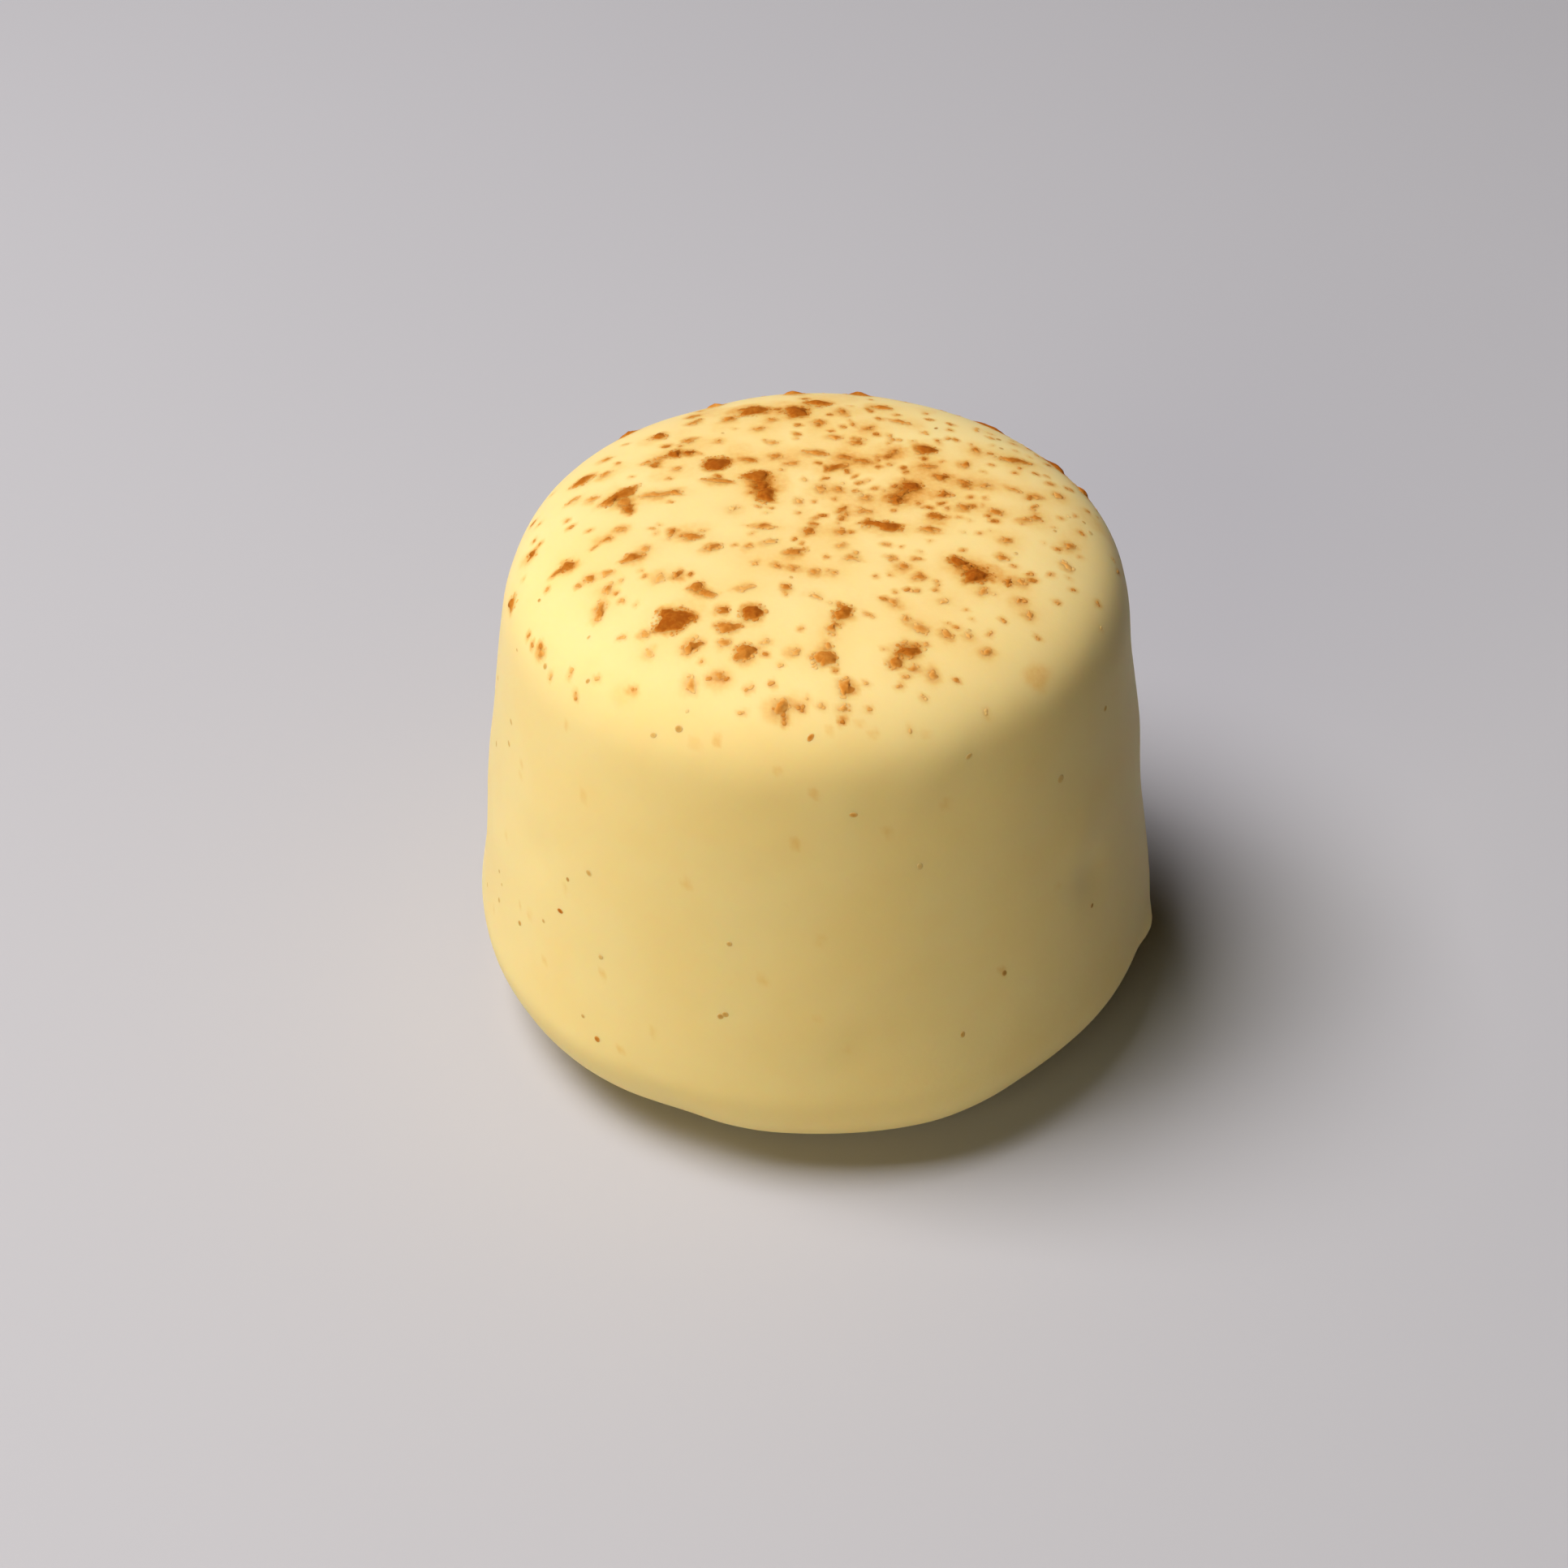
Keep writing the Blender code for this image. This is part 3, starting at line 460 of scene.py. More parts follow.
# Specks on the wall: azimuth in degrees, height and size in millimetres, and darkness; dark ones first
WALL_SPECKS = [
    (-136.3, 8.2, 0.16, 0.80), (-36.7, 6.55, 0.11, 1.00), (-57.7, 6.3, 0.17, 0.85),
    (-65.5, 4.75, 0.15, 0.60), (-104.5, 6.0, 0.15, 0.65), (-105.2, 5.85, 0.15, 0.70),
    (-104.2, 8.3, 0.19, 0.50), (-131.0, 8.9, 0.15, 0.55), (-149.0, 5.3, 0.15, 0.65),
    (-130.2, 4.1, 0.15, 0.55), (-141.4, 6.25, 0.13, 0.45), (-127.6, 6.4, 0.15, 0.45),
    (-158.5, 11.2, 0.15, 0.40), (-159.0, 10.4, 0.15, 0.50), (-167.5, 9.3, 0.18, 0.45),
    (-171.0, 11.2, 0.15, 0.40), (-159.0, 5.8, 0.13, 0.40), (-157.3, 5.6, 0.12, 0.40),
    (-166.5, 4.2, 0.14, 0.35), (-158.0, 4.9, 0.15, 0.40), (-160.3, 4.2, 0.12, 0.20),
    (-149.3, 5.8, 0.12, 0.25), (-145.8, 6.0, 0.12, 0.25), (-140.8, 4.95, 0.14, 0.20),
    (-152.5, 10.4, 0.15, 0.25), (-152.6, 10.05, 0.12, 0.15), (-157.0, 7.4, 0.12, 0.18),
    (-136.5, 7.9, 0.15, 0.18), (-127.0, 5.85, 0.13, 0.30), (-117.0, 4.65, 0.13, 0.18),
    (-138.6, 13.0, 0.15, 0.22), (-127.0, 14.6, 0.17, 0.30), (-107.4, 14.3, 0.16, 0.32),
    (-132.9, 11.3, 0.19, 0.16), (-111.6, 9.9, 0.22, 0.24), (-98.3, 7.25, 0.16, 0.20),
    (-96.7, 13.75, 0.18, 0.20), (-93.2, 11.65, 0.21, 0.28), (-90.2, 13.15, 0.20, 0.26),
    (-77.7, 11.9, 0.18, 0.22), (-72.3, 10.7, 0.16, 0.34), (-67.3, 12.4, 0.18, 0.15),
    (-27.4, 12.3, 0.15, 0.50), (-43.2, 11.5, 0.19, 0.34), (-87.5, 14.6, 0.17, 0.18),
    (-81.5, 14.7, 0.16, 0.22), (-79.3, 14.5, 0.17, 0.22), (-89.6, 8.6, 0.18, 0.10),
    (-89.8, 6.1, 0.18, 0.10), (-45.3, 8.15, 0.12, 0.12), (-84.7, 5.0, 0.18, 0.10),
    (-70.0, 14.3, 0.18, 0.12),
]
# Red-brown specks on the wall, of powder: azimuth, height, size and darkness
WALL_POWDER = [
    (-137.4, 7.0, 0.20, 0.85), (-127.2, 3.65, 0.17, 0.70), (-123.0, 3.65, 0.17, 0.28),
    (-90.8, 14.5, 0.20, 0.70), (-83.2, 12.5, 0.20, 0.45), (-111.5, 14.1, 0.26, 0.12),
    (-57.9, 6.4, 0.20, 0.25),
]

COATING_COLOUR = (0.930, 0.712, 0.282, 1.0)
# From the clean coating, through pale and deep orange, to brown
POWDER_COLOURS = [
    (0.00, COATING_COLOUR),
    (0.15, (0.880, 0.590, 0.190, 1.0)),
    (0.35, (0.780, 0.400, 0.090, 1.0)),
    (0.55, (0.610, 0.235, 0.032, 1.0)),
    (0.80, (0.450, 0.135, 0.010, 1.0)),
    (1.00, (0.350, 0.085, 0.005, 1.0)),
]
SPECK_COLOURS = [
    (0.00, COATING_COLOUR),
    (0.50, (0.680, 0.390, 0.095, 1.0)),
    (1.00, (0.340, 0.140, 0.026, 1.0)),
]
# Faint uneven colour of the coating, and what it multiplies the colour by
MOTTLE_STEPS = [(0.35, (0, 0, 0, 1)), (0.65, (1, 1, 1, 1))]
MOTTLE_TINT = (1.0, 0.965, 0.90, 1.0)
# How much the powder's darkness changes from place to place
POWDER_UNEVENNESS = 0.6
FLOOR_COLOUR = (0.52, 0.51, 0.49, 1.0)
FLOOR_SHADE = 0.97
FLOOR_SIZE = 1.2

# Noise on the materials: bumps to the metre, detail and roughness
STAIN_NOISE = (7000.0, 3.0, 0.5)
MOTTLE_NOISE = (330.0, 3.0, 0.5)
RELIEF_NOISE = (4200.0, 4.0, 0.6)
POWDER_NOISE = (9000.0, 3.0, 0.5)
CRUMB_NOISE = (22000.0, 3.0, 0.6)
FLOOR_NOISE = (30.0, 2.0, 0.5)
# Fine relief of the coating and of the powder: strength, and depth in metres
RELIEF = (0.10, 0.00005)
CRUMB = (0.25, 0.000006)
COATING_FINISH = {
    "Roughness": 0.50,
    "Specular IOR Level": 0.10,
    "Subsurface Weight": 0.6,
    "Subsurface Radius": (1.0, 0.6, 0.3),
    "Subsurface Scale": 0.0005,
}
POWDER_FINISH = {"Roughness": 0.9, "Specular IOR Level": 0.04}
FLOOR_FINISH = {"Roughness": 0.7}

# Lights: azimuth and elevation they come from in degrees, distance and width in metres, power in watts
# and colour
KEY_LIGHT = (180, 66, 0.30, 0.16, 1.150, (0.930, 0.910, 1.0))
LOW_LIGHT = (240, 20, 0.30, 0.16, 0.268, (1.0, 0.965, 0.740))


def cone_radius(height):
    """The radius of the unrounded cone at this height."""
    return BASE_RADIUS + (TOP_RADIUS - BASE_RADIUS) * height / HEIGHT


def dome_point(turn):
    """The dome and shoulder as a quarter curve: turn 0 is the shoulder's foot, a quarter the top."""
    height = SHOULDER_HEIGHT + (HEIGHT - SHOULDER_HEIGHT) * math.sin(turn) ** (2 / SHOULDER_SQUARENESS)
    share = max(math.cos(turn), 0.0) ** (2 / DOME_SQUARENESS)
    return share * cone_radius(height), height


def foot_point(turn):
    """The rounded foot as a quarter curve: turn 0 is the edge of the flat, a quarter the wall's foot."""
    height = FOOT_HEIGHT * (1 - max(math.cos(turn), 0.0) ** (2 / FOOT_SQUARENESS))
    flat_share = FLAT_RADIUS / BASE_RADIUS
    share = flat_share + (1 - flat_share) * math.sin(turn) ** (2 / FOOT_SQUARENESS)
    return share * cone_radius(height), height


def fine_outline():
    """(radius, height) closely spaced down the outside, from the top's middle to the flat's edge."""
    turns = [math.pi / 2 * i / FINE_STEPS for i in range(FINE_STEPS + 1)]
    dome = [dome_point(turn) for turn in reversed(turns)]
    foot = [foot_point(turn) for turn in reversed(turns)]
    return dome + foot


OUTLINE = fine_outline()


def outline_rows():
    """The outline with points TOP_STEP apart down to the shoulder's foot, and WALL_STEP apart below it."""
    rows = [(0.0, HEIGHT)]
    walked = 0.0
    for (r0, z0), (r1, z1) in zip(OUTLINE, OUTLINE[1:]):
        piece = math.hypot(r1 - r0, z1 - z0)
        done = 0.0
        step = TOP_STEP if z0 > SHOULDER_HEIGHT else WALL_STEP
        while walked + piece - done >= step:
            done += step - walked
            walked = 0.0
            share = done / piece
            rows.append((r0 + (r1 - r0) * share, z0 + (z1 - z0) * share))
        walked += piece - done
    rows.append((FLAT_RADIUS, 0.0))
    base_rows = round(FLAT_RADIUS / BASE_STEP)
    rows += [(FLAT_RADIUS * (1 - i / base_rows), 0.0) for i in range(1, base_rows + 1)]
    return rows


def wall_frame(azimuth, height):
    """The point of the smooth outline's surface at this azimuth and height, and the way out of it."""
    at = next(i for i in range(len(OUTLINE) - 1) if OUTLINE[i + 1][1] <= height)
    (r0, z0), (r1, z1) = OUTLINE[at], OUTLINE[at + 1]
    radius = r0 + (r1 - r0) * (z0 - height) / max(z0 - z1, TINY)
    turn = math.radians(azimuth)
    out = Vector((math.cos(turn), math.sin(turn), 0.0))
    way = (out * (z0 - z1) + Vector((0.0, 0.0, r1 - r0))).normalized()
    return out * radius + Vector((0.0, 0.0, height)), way


SWELLS = [
    (wall_frame(azimuth, height)[0], reach, push)
    for azimuth, height, reach, push in SWELLINGS + DENTS + [DRIP]
]


def push_at(point):
    """How far the coating stands out from the smooth outline at this point."""
    push = WAVE_DEPTH * noise.noise(point / WAVE_LENGTH)
    for middle, reach, amount in SWELLS:
        apart = (point - middle).length / reach
        if apart < SWELLING_END:
            push += amount * math.exp(-apart * apart)
    fade = min(max(point.z / FOOT_FADE, 0.0), 1.0)
    return push * fade * fade * (3 - 2 * fade)


def ripple_at(point):
    """The coating's fine ripple at this point, too fine for the solid."""
    fade = min(max(point.z / FOOT_FADE, 0.0), 1.0)
    return fade * RIPPLE_DEPTH * noise.noise(point / RIPPLE_LENGTH)


def dome_seat(x, y):
    """The point on the dome above x, y, and the way out of the surface there."""
    reach = math.hypot(x, y)
    at = next(i for i in range(len(OUTLINE) - 1) if OUTLINE[i + 1][0] >= reach)
    (r0, z0), (r1, z1) = OUTLINE[at], OUTLINE[at + 1]
    height = z0 + (z1 - z0) * (reach - r0) / (r1 - r0)
    out = Vector((x, y, 0.0)) / max(reach, TINY)
    way = out * (z0 - z1) + Vector((0.0, 0.0, r1 - r0))
    return Vector((x, y, height)), way.normalized()


def frame_on(point, way, turn):
    """A frame on the coating at this point, Z out of it, X turned this many degrees from the row's X."""
    point = point + way * (push_at(point) + ripple_at(point))
    along = Vector((math.cos(math.radians(turn)), math.sin(math.radians(turn)), 0.0))
    along = (along - way * along.dot(way)).normalized()
    side = way.cross(along)
    turned = Matrix((along, side, way)).transposed().to_4x4()
    return Matrix.Translation(point) @ turned


def lay_table():
    """Radius, height and the way out of the surface, LAY_STEP apart down the dome and shoulder."""
    dome = np.array([point for point in OUTLINE if point[1] >= SHOULDER_HEIGHT])
    walked = np.concatenate(([0.0], np.cumsum(np.hypot(*np.diff(dome, axis=0).T))))
    at = np.arange(0.0, walked[-1], LAY_STEP)
    radius = np.interp(at, walked, dome[:, 0])
    height = np.interp(at, walked, dome[:, 1])
    return radius, height, -np.gradient(height, LAY_STEP), np.gradient(radius, LAY_STEP)


LAY_RADIUS, LAY_HEIGHT, LAY_OUT, LAY_UP = lay_table()


def lay_on_dome(points, lifts):
    """These points, each moved to its lift above the smooth dome."""
    reach = np.hypot(points[:, 0], points[:, 1])
    apart = (reach[:, None] - LAY_RADIUS) ** 2 + (points[:, 2][:, None] - LAY_HEIGHT) ** 2
    nearest = apart.argmin(axis=1)
    out = points[:, :2] / np.maximum(reach, TINY)[:, None]
    place = np.column_stack([out * LAY_RADIUS[nearest][:, None], LAY_HEIGHT[nearest]])
    way = np.column_stack([out * LAY_OUT[nearest][:, None], LAY_UP[nearest]])
    return place + way * lifts[:, None]


def dusting(x, y):
    """How thick the powder lies at this place on the top, from 0 to 1."""
    apart = math.hypot(x - THICK_PLACE[0], y - THICK_PLACE[1]) / THICK_REACH
    return THIN_SHARE + (1 - THIN_SHARE) * math.exp(-apart * apart / 2)


def chain(x, y, heading, bends):
    """A short bent row of (across, back) places."""
    places = []
    for bend in bends:
        places.append((x, y))
        heading += bend
        x += FLECK_STEP * math.cos(heading)
        y += FLECK_STEP * math.sin(heading)
    return [(a, b) for a, b in places if math.hypot(a, b) < FLECK_REACH]


def scatter_flecks():
    """The finest flecks and the faint ones, each a chain of (across, back) places and its darkness."""
    draw = random.Random(FLECK_SEED)
    flecks = []
    while len(flecks) < FLECK_COUNT:
        x = draw.uniform(-FLECK_REACH, FLECK_REACH)
        y = draw.uniform(-FLECK_REACH, FLECK_REACH)
        chance = draw.random()
        links = draw.randint(*FLECK_CHAIN)
        heading = draw.uniform(0, 2 * math.pi)
        bends = [draw.uniform(-FLECK_BEND, FLECK_BEND) for _ in range(links)]
        tone = draw.uniform(*FLECK_TONES)
        if math.hypot(x, y) > FLECK_REACH or chance > dusting(x, y):
            continue
        flecks.append((chain(x, y, heading, bends), tone))
    for x, y, length, turn, tone in FAINT_FLECKS:
        heading = math.radians(turn)
        links = max(round(length / FLECK_STEP) - 1, 1)
        back = FLECK_STEP * (links - 1) / 2
        bends = [draw.uniform(-FAINT_BEND, FAINT_BEND) for _ in range(links)]
        start = (x - back * math.cos(heading), y - back * math.sin(heading))
        flecks.append((chain(*start, heading, bends), tone))
    return flecks


def unit_ball(subdivisions):
    """The points and faces of a ball of radius 1, as a pattern for lumps and grains."""
    shape = bmesh.new()
    bmesh.ops.create_icosphere(shape, subdivisions=subdivisions, radius=1.0)
    points = [vert.co.copy() for vert in shape.verts]
    faces = [tuple(vert.index for vert in face.verts) for face in shape.faces]
    shape.free()
    return points, faces


COARSE_BALL = unit_ball(2)
FINE_BALL = unit_ball(3)
FINEST_BALL = unit_ball(4)


class Heap:
    """Lumps and grains of one kind, gathered into one mesh with a darkness for each point."""

    def __init__(self):
        self.points = []
        self.faces = []
        self.grounds = []
        self.darkness = []

    def add(self, pattern, points, grounds, darkness):
        """Adds one lump of this pattern, in millimetres; it takes on the stain at its grounds."""
        start = len(self.points)
        self.points += [point * MM for point in points]
        self.faces += [tuple(start + i for i in face) for face in pattern[1]]
        self.grounds += grounds
        self.darkness += darkness

    def finish(self, name, material, patches):
        """Makes the object, as dark as the stain it lies in and its own darkness together."""
        mesh = bpy.data.meshes.new(name)
        mesh.from_pydata(self.points, [], self.faces)
        clean = 1 - stain_at(np.array(self.grounds), patches)
        values = mesh.attributes.new("darkness", "FLOAT", "POINT")
        values.data.foreach_set("value", 1 - clean * (1 - np.clip(self.darkness, 0.0, 1.0)))
        mesh.materials.append(material)
        mesh.shade_smooth()
        thing = bpy.data.objects.new(name, mesh)
        bpy.context.scene.collection.objects.link(thing)
        return thing


def bend(point):
    """How far powder and stains are moved at this point, so that their edges are ragged."""
    moved = Vector((0.0, 0.0, 0.0))
    for length, depth in BENDS:
        moved += noise.noise_vector(point / length) * depth
    return moved


def side_widths(middle):
    """How much wider or narrower the lump with this middle is towards each of its sides, as in the solid."""
    widths = []
    for turn in SIDE_TURNS:
        way = Vector((math.cos(turn), math.sin(turn), 0.0))
        widths.append(1 + CLUMP_ROUGHNESS * noise.noise(way * ROUGH_FINENESS + middle * ROUGH_VARIETY))
    return widths


def add_lump(heap, pattern, place, share):
    """One clump or flake: the solid's own lump, laid closely on the coating, with ragged edges.

    It stands this share as high as in the solid."""
    x, y, length, width, turn, tone = place
    point, way_out = dome_seat(x, y)
    seat = frame_on(point, way_out, turn)
    rise = share * min(width * CLUMP_RISE, CLUMP_RISE_LIMIT)
    own = tone * (1 - EDGE_TONE) / (1 - tone * EDGE_TONE)
    widths = side_widths(seat.translation)
    grounds = []
    lifts = []
    darkness = []
    for way in pattern[0]:
        rough = np.interp(math.atan2(way.y, way.x) % (2 * math.pi), SIDE_TURNS, widths)
        ground = seat @ Vector((way.x * length / 2 * rough, way.y * width / 2 * rough, 0.0))
        grounds.append(ground)
        high = (way.z * abs(way.z) - CLUMP_SINK ** 2) / (1 - CLUMP_SINK ** 2)
        high = high ** SHOULDER_SOFTNESS if high > 0 else high
        lifts.append(rise * high * (1 + TOP_UNEVENNESS * noise.noise(ground / TOP_LENGTH)))
        inward = min((1 - min(math.hypot(way.x, way.y), 1.0)) * width / 2 / EDGE_SOFTNESS, 1.0)
        darkness.append((own + TONE_SPREAD * noise.noise(ground / TONE_LENGTH)) * inward * (2 - inward))
    moved = np.array([ground + bend(ground) for ground in grounds])
    laid = lay_on_dome(moved, np.array(lifts) + push_at(point) + ripple_at(point))
    heap.add(pattern, [Vector(each) for each in laid], grounds, darkness)


def add_grain(heap, draw, seat, size, darkness, form):
    """One flat grain of this form lying in this frame."""
    flatness, rim = form
    moved = bend(seat.translation)
    out = seat.to_3x3().col[2]
    moved = Matrix.Translation(moved - out * moved.dot(out))
    turned = Matrix.Rotation(draw.uniform(0, 2 * math.pi), 4, "Z")
    stretch = [size / 2 * draw.uniform(*GRAIN_STRETCH) for _ in range(3)]
    stretch[2] *= flatness
    settle = moved @ seat @ turned @ Matrix.Diagonal(stretch + [1.0])
    points = [settle @ unit for unit in COARSE_BALL[0]]
    dark = [darkness * (rim + (1 - rim) * max(unit.z, 0.0)) for unit in COARSE_BALL[0]]
    heap.add(COARSE_BALL, points, [seat.translation] * len(points), dark)


def add_grains(heap, draw, place):
    """Loose grains round one clump's edge."""
    x, y, length, width, turn, tone = place
    mean = sum(GRAIN_SIZES) / 2
    heading = math.radians(turn)
    for _ in range(round(GRAIN_COVER * length * width / (mean * mean))):
        turned = draw.uniform(0, 2 * math.pi)
        out = draw.uniform(*GRAIN_BAND)
        size = draw.uniform(*GRAIN_SIZES)
        along = math.cos(turned) * out * length / 2
        aside = math.sin(turned) * out * width / 2
        a = x + along * math.cos(heading) - aside * math.sin(heading)
        b = y + along * math.sin(heading) + aside * math.cos(heading)
        darkness = max(tone * GRAIN_TONE + draw.gauss(0, GRAIN_TONE_SPREAD), 0.0)
        if math.hypot(a, b) < FLECK_REACH:
            add_grain(heap, draw, frame_on(*dome_seat(a, b), 0), size, darkness, GRAIN_FORM)


def stain_patches(flecks):
    """Where the coating is stained: (frame, length, width, run, strength, side widths of a lump or None)."""
    draw = random.Random(GRAIN_SEED)
    patches = []
    for x, y, length, width, turn, tone in CLUMPS + FLAKES + JOINS:
        seat = frame_on(*dome_seat(x, y), turn)
        patches.append((seat, length, width, STAIN_RUN, tone * EDGE_TONE, side_widths(seat.translation)))
        haze = draw.uniform(*HAZE_STRENGTH) * dusting(x, y)
        patches.append((seat, length, width, HAZE_REACH, haze, None))
        a = x + STAIN_SHIFT[0] + draw.uniform(-0.5, 0.5) * width
        b = y + STAIN_SHIFT[1] + draw.uniform(-0.5, 0.5) * width
        strength = draw.uniform(*HALO_STRENGTH)
        if math.hypot(a, b) < FLECK_REACH:
            halo = frame_on(*dome_seat(a, b), turn)
            patches.append((halo, length, width, STAIN_RUN * draw.uniform(*HALO_RUN), strength, None))
    for places, tone in flecks:
        strength = FLECK_STAIN[0] + tone * FLECK_STAIN[1]
        for x, y in places:
            seat = frame_on(*dome_seat(x, y), 0)
            patches.append((seat, FLECK_STAIN_SIZE, FLECK_STAIN_SIZE, FLECK_RUN, strength, None))
    for x, y, length, width, turn, strength in SMEARS:
        patches.append((frame_on(*dome_seat(x, y), turn), length, width, SMEAR_RUN, strength, None))
    draw = random.Random(SMEAR_SEED)
    for _ in range(SMEAR_COUNT):
        a = SMEAR_PLACE[0] + draw.gauss(0, SMEAR_SPREAD[0])
        b = SMEAR_PLACE[1] + draw.gauss(0, SMEAR_SPREAD[1])
        length = draw.uniform(*SMEAR_LENGTHS)
        slim = draw.uniform(*SMEAR_SLIMNESS)
        turn = draw.uniform(0, 180)
        strength = draw.uniform(*SMEAR_STRENGTH)
        if math.hypot(a, b) < FLECK_REACH:
            seat = frame_on(*dome_seat(a, b), turn)
            patches.append((seat, length, length * slim, SMEAR_RUN, strength, None))
    for azimuth, height, size, darkness in WALL_SPECKS + WALL_POWDER:
        if darkness < FAINT_SPECK:
            seat = frame_on(*wall_frame(azimuth, height), 0)
            patches.append((seat, size, size, SPECK_RUN, darkness * SPECK_STRENGTH, None))
    return patches


def stain_at(points, patches):
    """How stained the coating is at each of these points, from 0 to 1."""
    clean = np.ones(len(points))
    for seat, length, width, run, strength, widths in patches:
        away = points - np.array(seat.translation)
        near = np.flatnonzero(np.abs(away).max(axis=1) < length * PATCH_REACH + PATCH_END * run)
        if not len(near):
            continue
        local = away[near] @ np.array(seat.to_3x3())
        along, aside = local[:, 0], local[:, 1]
        across, back = along / (length / 2), aside / (width / 2)
        out = np.maximum(np.hypot(across, back), TINY)
        if widths:
            out = out / np.interp(np.arctan2(back, across) % (2 * math.pi), SIDE_TURNS, widths)
        gap = (out - 1) * np.hypot(along, aside) / out
        past = np.maximum(gap, 0) / run
        clean[near] *= 1 - strength * np.exp(-past * past)
    return 1 - clean


def make_coating(material, patches):
    """The coating's fine surface: the outline turned about Z, pushed in and out, with its stains."""
    rows = outline_rows()
    mesh = bpy.data.meshes.new("coating")
    mesh.from_pydata(
        [(radius * MM, 0.0, height * MM) for radius, height in rows],
        [(i, i + 1) for i in range(len(rows) - 1)],
        [],
    )
    coating = bpy.data.objects.new("coating", mesh)
    bpy.context.scene.collection.objects.link(coating)
    screw = coating.modifiers.new("turn", "SCREW")
    screw.axis = "Z"
    screw.steps = TURN_STEPS
    screw.render_steps = TURN_STEPS
    screw.use_merge_vertices = True
    screw.merge_threshold = MERGE_DISTANCE
    seen = bpy.context.evaluated_depsgraph_get()
    made = bpy.data.meshes.new_from_object(coating.evaluated_get(seen))
    coating.modifiers.clear()
    coating.data = made
    bpy.data.meshes.remove(mesh)
    made.name = "coating"

    shape = bmesh.new()
    shape.from_mesh(made)
    shape.normal_update()
    pushes = []
    for vert in shape.verts:
        point = vert.co / MM
        pushes.append((vert, vert.normal * (push_at(point) + ripple_at(point)) * MM))
    for vert, push in pushes:
        vert.co += push
    shape.to_mesh(made)
    shape.free()

    places = np.empty(len(made.vertices) * 3)
    made.vertices.foreach_get("co", places)
    places = places.reshape(-1, 3) / MM
    unbent = np.array([Vector(place) - bend(Vector(place)) for place in places])
    stain = stain_at(unbent, patches)
    values = made.attributes.new("stain", "FLOAT", "POINT")
    values.data.foreach_set("value", stain)
    made.materials.clear()
    made.materials.append(material)
    made.shade_smooth()
    return coating


def node(tree, kind, **values):
    """A shader node with these input values."""
    made = tree.nodes.new(kind)
    for name, value in values.items():
        made.inputs[name.replace("_", " ")].default_value = value
    return made


def set_inputs(shader, values):
    """Sets the shader's own sockets to these values."""
    for name, value in values.items():
        shader.inputs[name].default_value = value


def ramp(tree, stops):
    """A colour ramp with these (place, colour) stops."""
    made = tree.nodes.new("ShaderNodeValToRGB")
    band = made.color_ramp
    while len(band.elements) < len(stops):
        band.elements.new(0.5)
    for element, (place, colour) in zip(band.elements, stops):
        element.position = place
        element.color = colour
    return made


def attribute(tree, name):
    """Reads a number that each of the mesh's points holds."""
    made = tree.nodes.new("ShaderNodeAttribute")
    made.attribute_type = "GEOMETRY"
    made.attribute_name = name
    return made


def maths(tree, operation, first, second):
    """One sum on two sockets or numbers."""
    made = tree.nodes.new("ShaderNodeMath")
    made.operation = operation
    for socket, value in zip(made.inputs, (first, second)):
        if isinstance(value, (int, float)):
            socket.default_value = value
        else:
            tree.links.new(value, socket)
    return made.outputs[0]


def bump(tree, height, strength, distance):
    """Small relief from a height socket; the distance is in metres."""
    made = node(tree, "ShaderNodeBump", Strength=strength, Distance=distance)
    tree.links.new(height, made.inputs["Height"])
    return made.outputs["Normal"]


def new_material(name):
    """An empty node material: (material, tree, shader, place on the object)."""
    material = bpy.data.materials.new(name)
    material.use_nodes = True
    tree = material.node_tree
    place = tree.nodes.new("ShaderNodeTexCoord").outputs["Object"]
    return material, tree, tree.nodes["Principled BSDF"], place


def noise_at(tree, place, form):
    """Noise of this form on the object."""
    scale, detail, roughness = form
    made = node(tree, "ShaderNodeTexNoise", Scale=scale, Detail=detail, Roughness=roughness)
    tree.links.new(place, made.inputs["Vector"])
    return made.outputs["Fac"]


def coating_material():
    """A pale yellow confectionery coating, faintly uneven in colour, stained where powder lies on it."""
    material, tree, shader, place = new_material("coating")
    stain = attribute(tree, "stain").outputs["Fac"]
    ragged = maths(tree, "SUBTRACT", noise_at(tree, place, STAIN_NOISE), 0.5)
    share = maths(tree, "MULTIPLY", stain, maths(tree, "ADD", 1.0, ragged))
    stained = ramp(tree, POWDER_COLOURS)
    tree.links.new(share, stained.inputs["Fac"])
    mottle = ramp(tree, MOTTLE_STEPS)
    tree.links.new(noise_at(tree, place, MOTTLE_NOISE), mottle.inputs["Fac"])
    tinted = tree.nodes.new("ShaderNodeMix")
    tinted.data_type = "RGBA"
    tinted.blend_type = "MULTIPLY"
    tree.links.new(mottle.outputs["Color"], tinted.inputs["Factor"])
    tree.links.new(stained.outputs["Color"], tinted.inputs[6])
    tinted.inputs[7].default_value = MOTTLE_TINT
    tree.links.new(tinted.outputs[2], shader.inputs["Base Color"])
    set_inputs(shader, COATING_FINISH)
    fine = noise_at(tree, place, RELIEF_NOISE)
    tree.links.new(bump(tree, fine, *RELIEF), shader.inputs["Normal"])
    return material


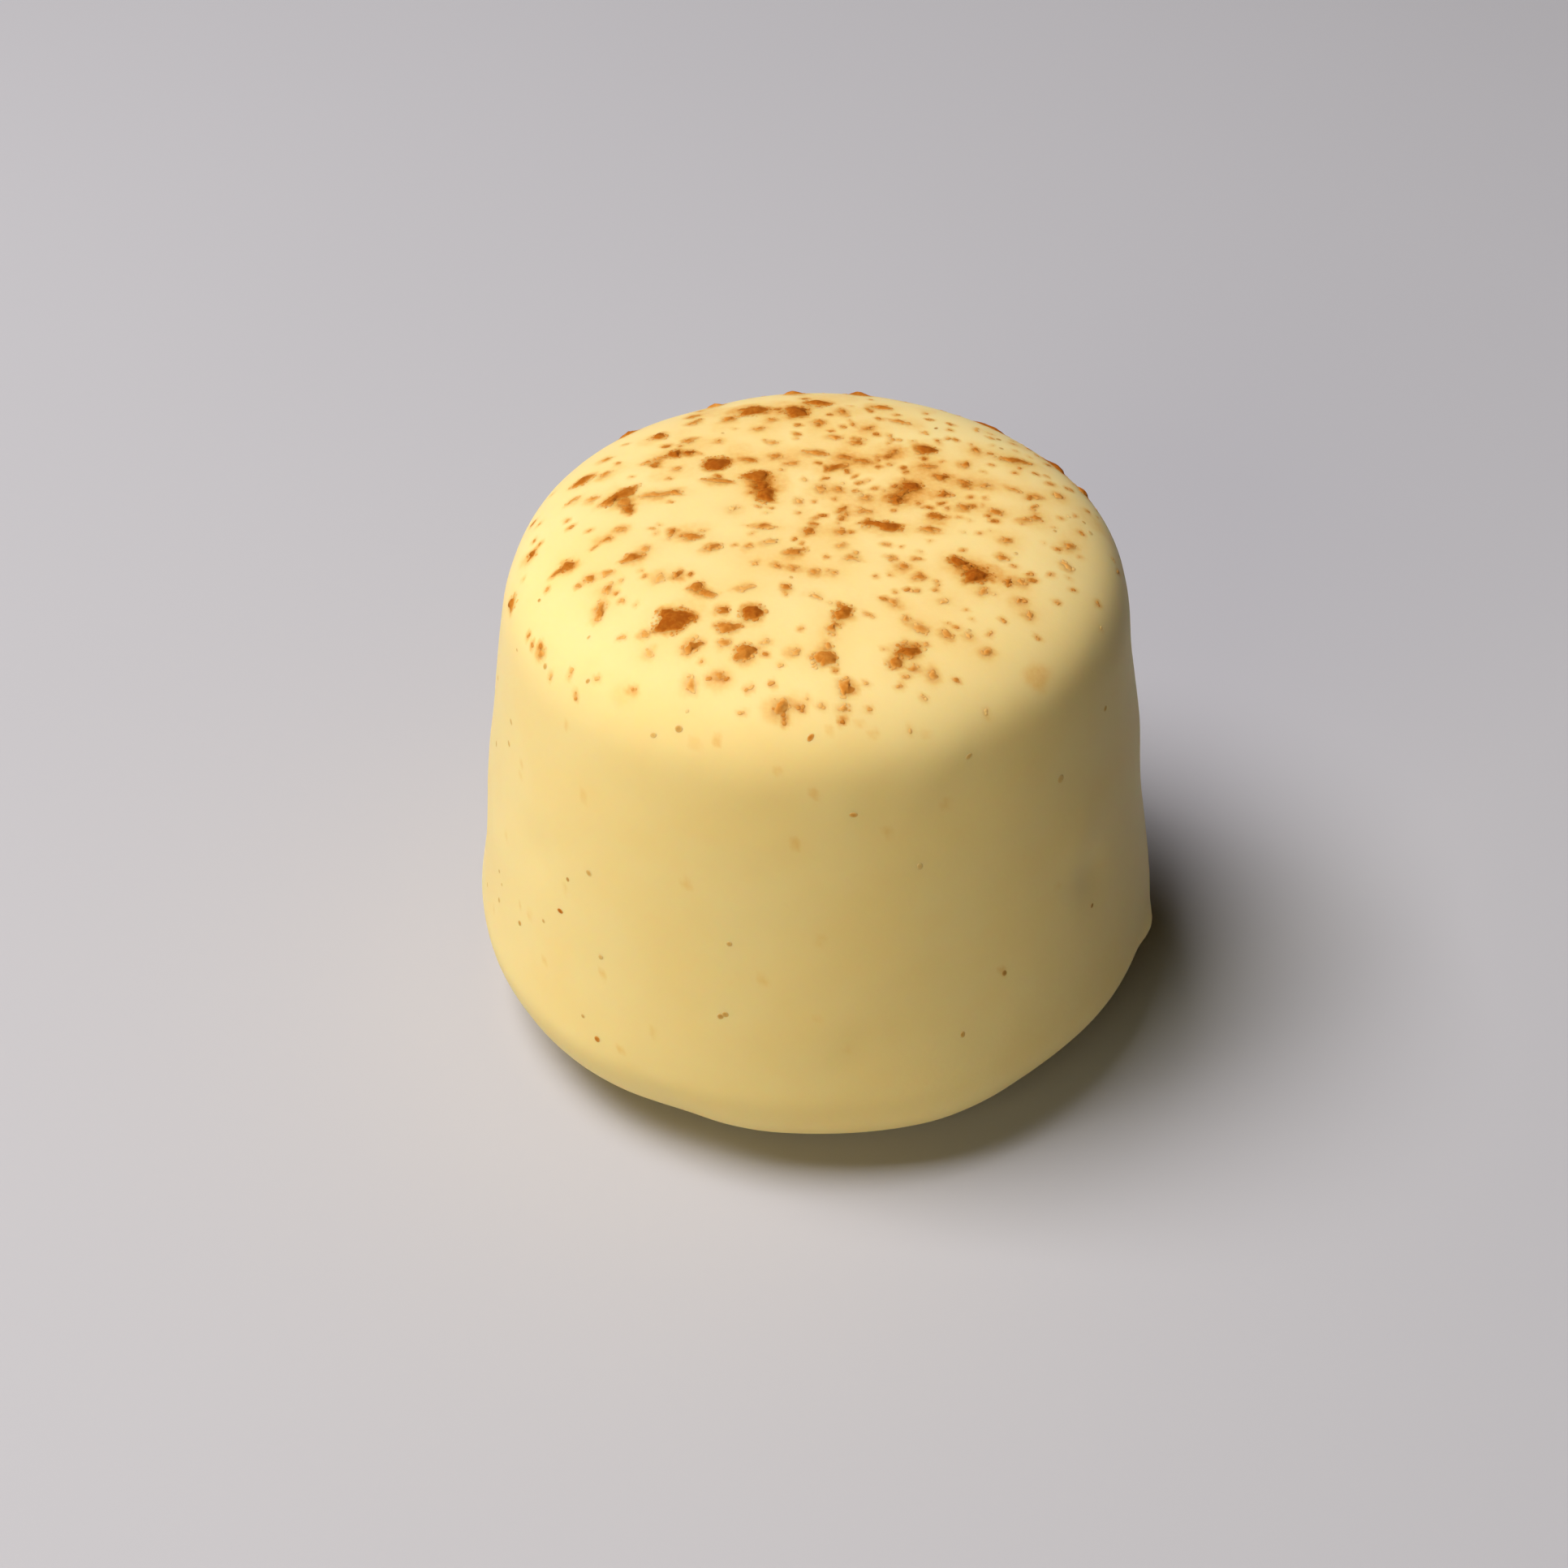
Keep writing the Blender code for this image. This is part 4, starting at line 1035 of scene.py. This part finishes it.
def powder_material(name, stops):
    """Coarse powder, dull and nearly flat, darker where it lies thickest."""
    material, tree, shader, place = new_material(name)
    darkness = attribute(tree, "darkness").outputs["Fac"]
    uneven = maths(tree, "SUBTRACT", noise_at(tree, place, POWDER_NOISE), 0.5)
    change = maths(tree, "MULTIPLY", uneven, POWDER_UNEVENNESS)
    share = maths(tree, "MULTIPLY", darkness, maths(tree, "ADD", 1.0, change))
    colours = ramp(tree, stops)
    tree.links.new(share, colours.inputs["Fac"])
    tree.links.new(colours.outputs["Color"], shader.inputs["Base Color"])
    set_inputs(shader, POWDER_FINISH)
    crumb = noise_at(tree, place, CRUMB_NOISE)
    tree.links.new(bump(tree, crumb, *CRUMB), shader.inputs["Normal"])
    return material


def floor_material():
    """Plain, pale and matt."""
    material, tree, shader, place = new_material("floor")
    darker = tuple(FLOOR_SHADE * part for part in FLOOR_COLOUR[:3]) + (1.0,)
    shade = ramp(tree, [(0.0, FLOOR_COLOUR), (1.0, darker)])
    tree.links.new(noise_at(tree, place, FLOOR_NOISE), shade.inputs["Fac"])
    tree.links.new(shade.outputs["Color"], shader.inputs["Base Color"])
    set_inputs(shader, FLOOR_FINISH)
    return material


def add_camera():
    """The photograph's viewpoint."""
    elevation = math.radians(EYE_ELEVATION)
    back = Vector((0.0, -math.cos(elevation), math.sin(elevation)))
    right = Vector((1.0, 0.0, 0.0))
    up = back.cross(right)
    eye = Vector((0.0, 0.0, LOOK_HEIGHT)) + back * EYE_DISTANCE
    facing = Matrix((right, up, back)).transposed().to_4x4()
    turn = Matrix.Rotation(math.radians(FRAMING_TURN), 4, "Y")
    tilt = Matrix.Rotation(-math.radians(FRAMING_TILT), 4, "X")
    data = bpy.data.cameras.new("camera")
    data.lens = LENS
    data.sensor_width = SENSOR
    data.clip_start = EYE_DISTANCE * MM / 10
    data.clip_end = 10.0
    camera = bpy.data.objects.new("camera", data)
    camera.matrix_world = Matrix.Translation(eye * MM) @ facing @ turn @ tilt
    bpy.context.scene.collection.objects.link(camera)
    bpy.context.scene.camera = camera


def add_light(name, light):
    """A soft square light that shines at the candy's middle."""
    azimuth, elevation, distance, width, power, colour = light
    data = bpy.data.lights.new(name, "AREA")
    data.shape = "SQUARE"
    data.size = width
    data.energy = power
    data.color = colour
    turn, rise = math.radians(azimuth), math.radians(elevation)
    way = Vector((math.cos(turn) * math.cos(rise), math.sin(turn) * math.cos(rise), math.sin(rise)))
    lamp = bpy.data.objects.new(name, data)
    lamp.location = Vector((0.0, 0.0, LOOK_HEIGHT * MM)) + way * distance
    lamp.rotation_mode = "QUATERNION"
    lamp.rotation_quaternion = way.to_track_quat("Z", "Y")
    bpy.context.scene.collection.objects.link(lamp)


def add_surroundings():
    """A pale floor and two soft lamps, with no other light."""
    bpy.ops.mesh.primitive_plane_add(size=FLOOR_SIZE)
    floor = bpy.context.object
    floor.name = "floor"
    floor.data.materials.append(floor_material())
    add_light("key", KEY_LIGHT)
    add_light("low", LOW_LIGHT)
    world = bpy.data.worlds.new("world")
    world.use_nodes = True
    world.node_tree.nodes["Background"].inputs["Strength"].default_value = 0.0
    bpy.context.scene.world = world
    bpy.context.scene.view_settings.view_transform = "Standard"


def make_powder(flecks, patches):
    """Clumps, flakes, the finest flecks and the dark specks, each kind one piece."""
    powder = powder_material("powder", POWDER_COLOURS)
    dark = powder_material("specks", SPECK_COLOURS)
    draw = random.Random(GRAIN_SEED)
    clumps = Heap()
    for place in CLUMPS:
        add_lump(clumps, FINEST_BALL, place, 1.0)
        add_grains(clumps, draw, place)
    small = Heap()
    for place in FLAKES + JOINS:
        add_lump(small, FINE_BALL, place, FLAKE_SHARE)
        add_grains(small, draw, place)
    finest = Heap()
    for places, tone in flecks:
        for x, y in places:
            size = draw.uniform(*FLECK_SIZES)
            add_grain(finest, draw, frame_on(*dome_seat(x, y), 0), size, tone * FLECK_SHARE, GRAIN_FORM)
    for azimuth, height, size, tone in WALL_POWDER:
        if tone >= FAINT_SPECK:
            add_grain(finest, draw, frame_on(*wall_frame(azimuth, height), 0), size, tone, SPECK_FORM)
    specks = Heap()
    for x, y, size, darkness in DARK_FLECKS:
        add_grain(specks, draw, frame_on(*dome_seat(x, y), 0), size, darkness, SPECK_FORM)
    for azimuth, height, size, darkness in WALL_SPECKS:
        if darkness >= FAINT_SPECK:
            seat = frame_on(*wall_frame(azimuth, height), 0)
            add_grain(specks, draw, seat, size * SPECK_WIDENING, darkness, SPECK_FORM)
    return [
        clumps.finish("powder_clumps", powder, patches),
        small.finish("powder_flakes", powder, patches),
        finest.finish("powder_flecks", powder, patches),
        specks.finish("dark_specks", dark, patches),
    ]


def main():
    """Dresses the candy and sets it on a plain floor."""
    noise.seed_set(BEND_SEED)
    add_camera()
    add_surroundings()
    flecks = scatter_flecks()
    patches = stain_patches(flecks)
    coating = make_coating(coating_material(), patches)
    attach(coating, "root")
    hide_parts("candy")
    for piece in make_powder(flecks, patches):
        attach(piece, "root")


main()
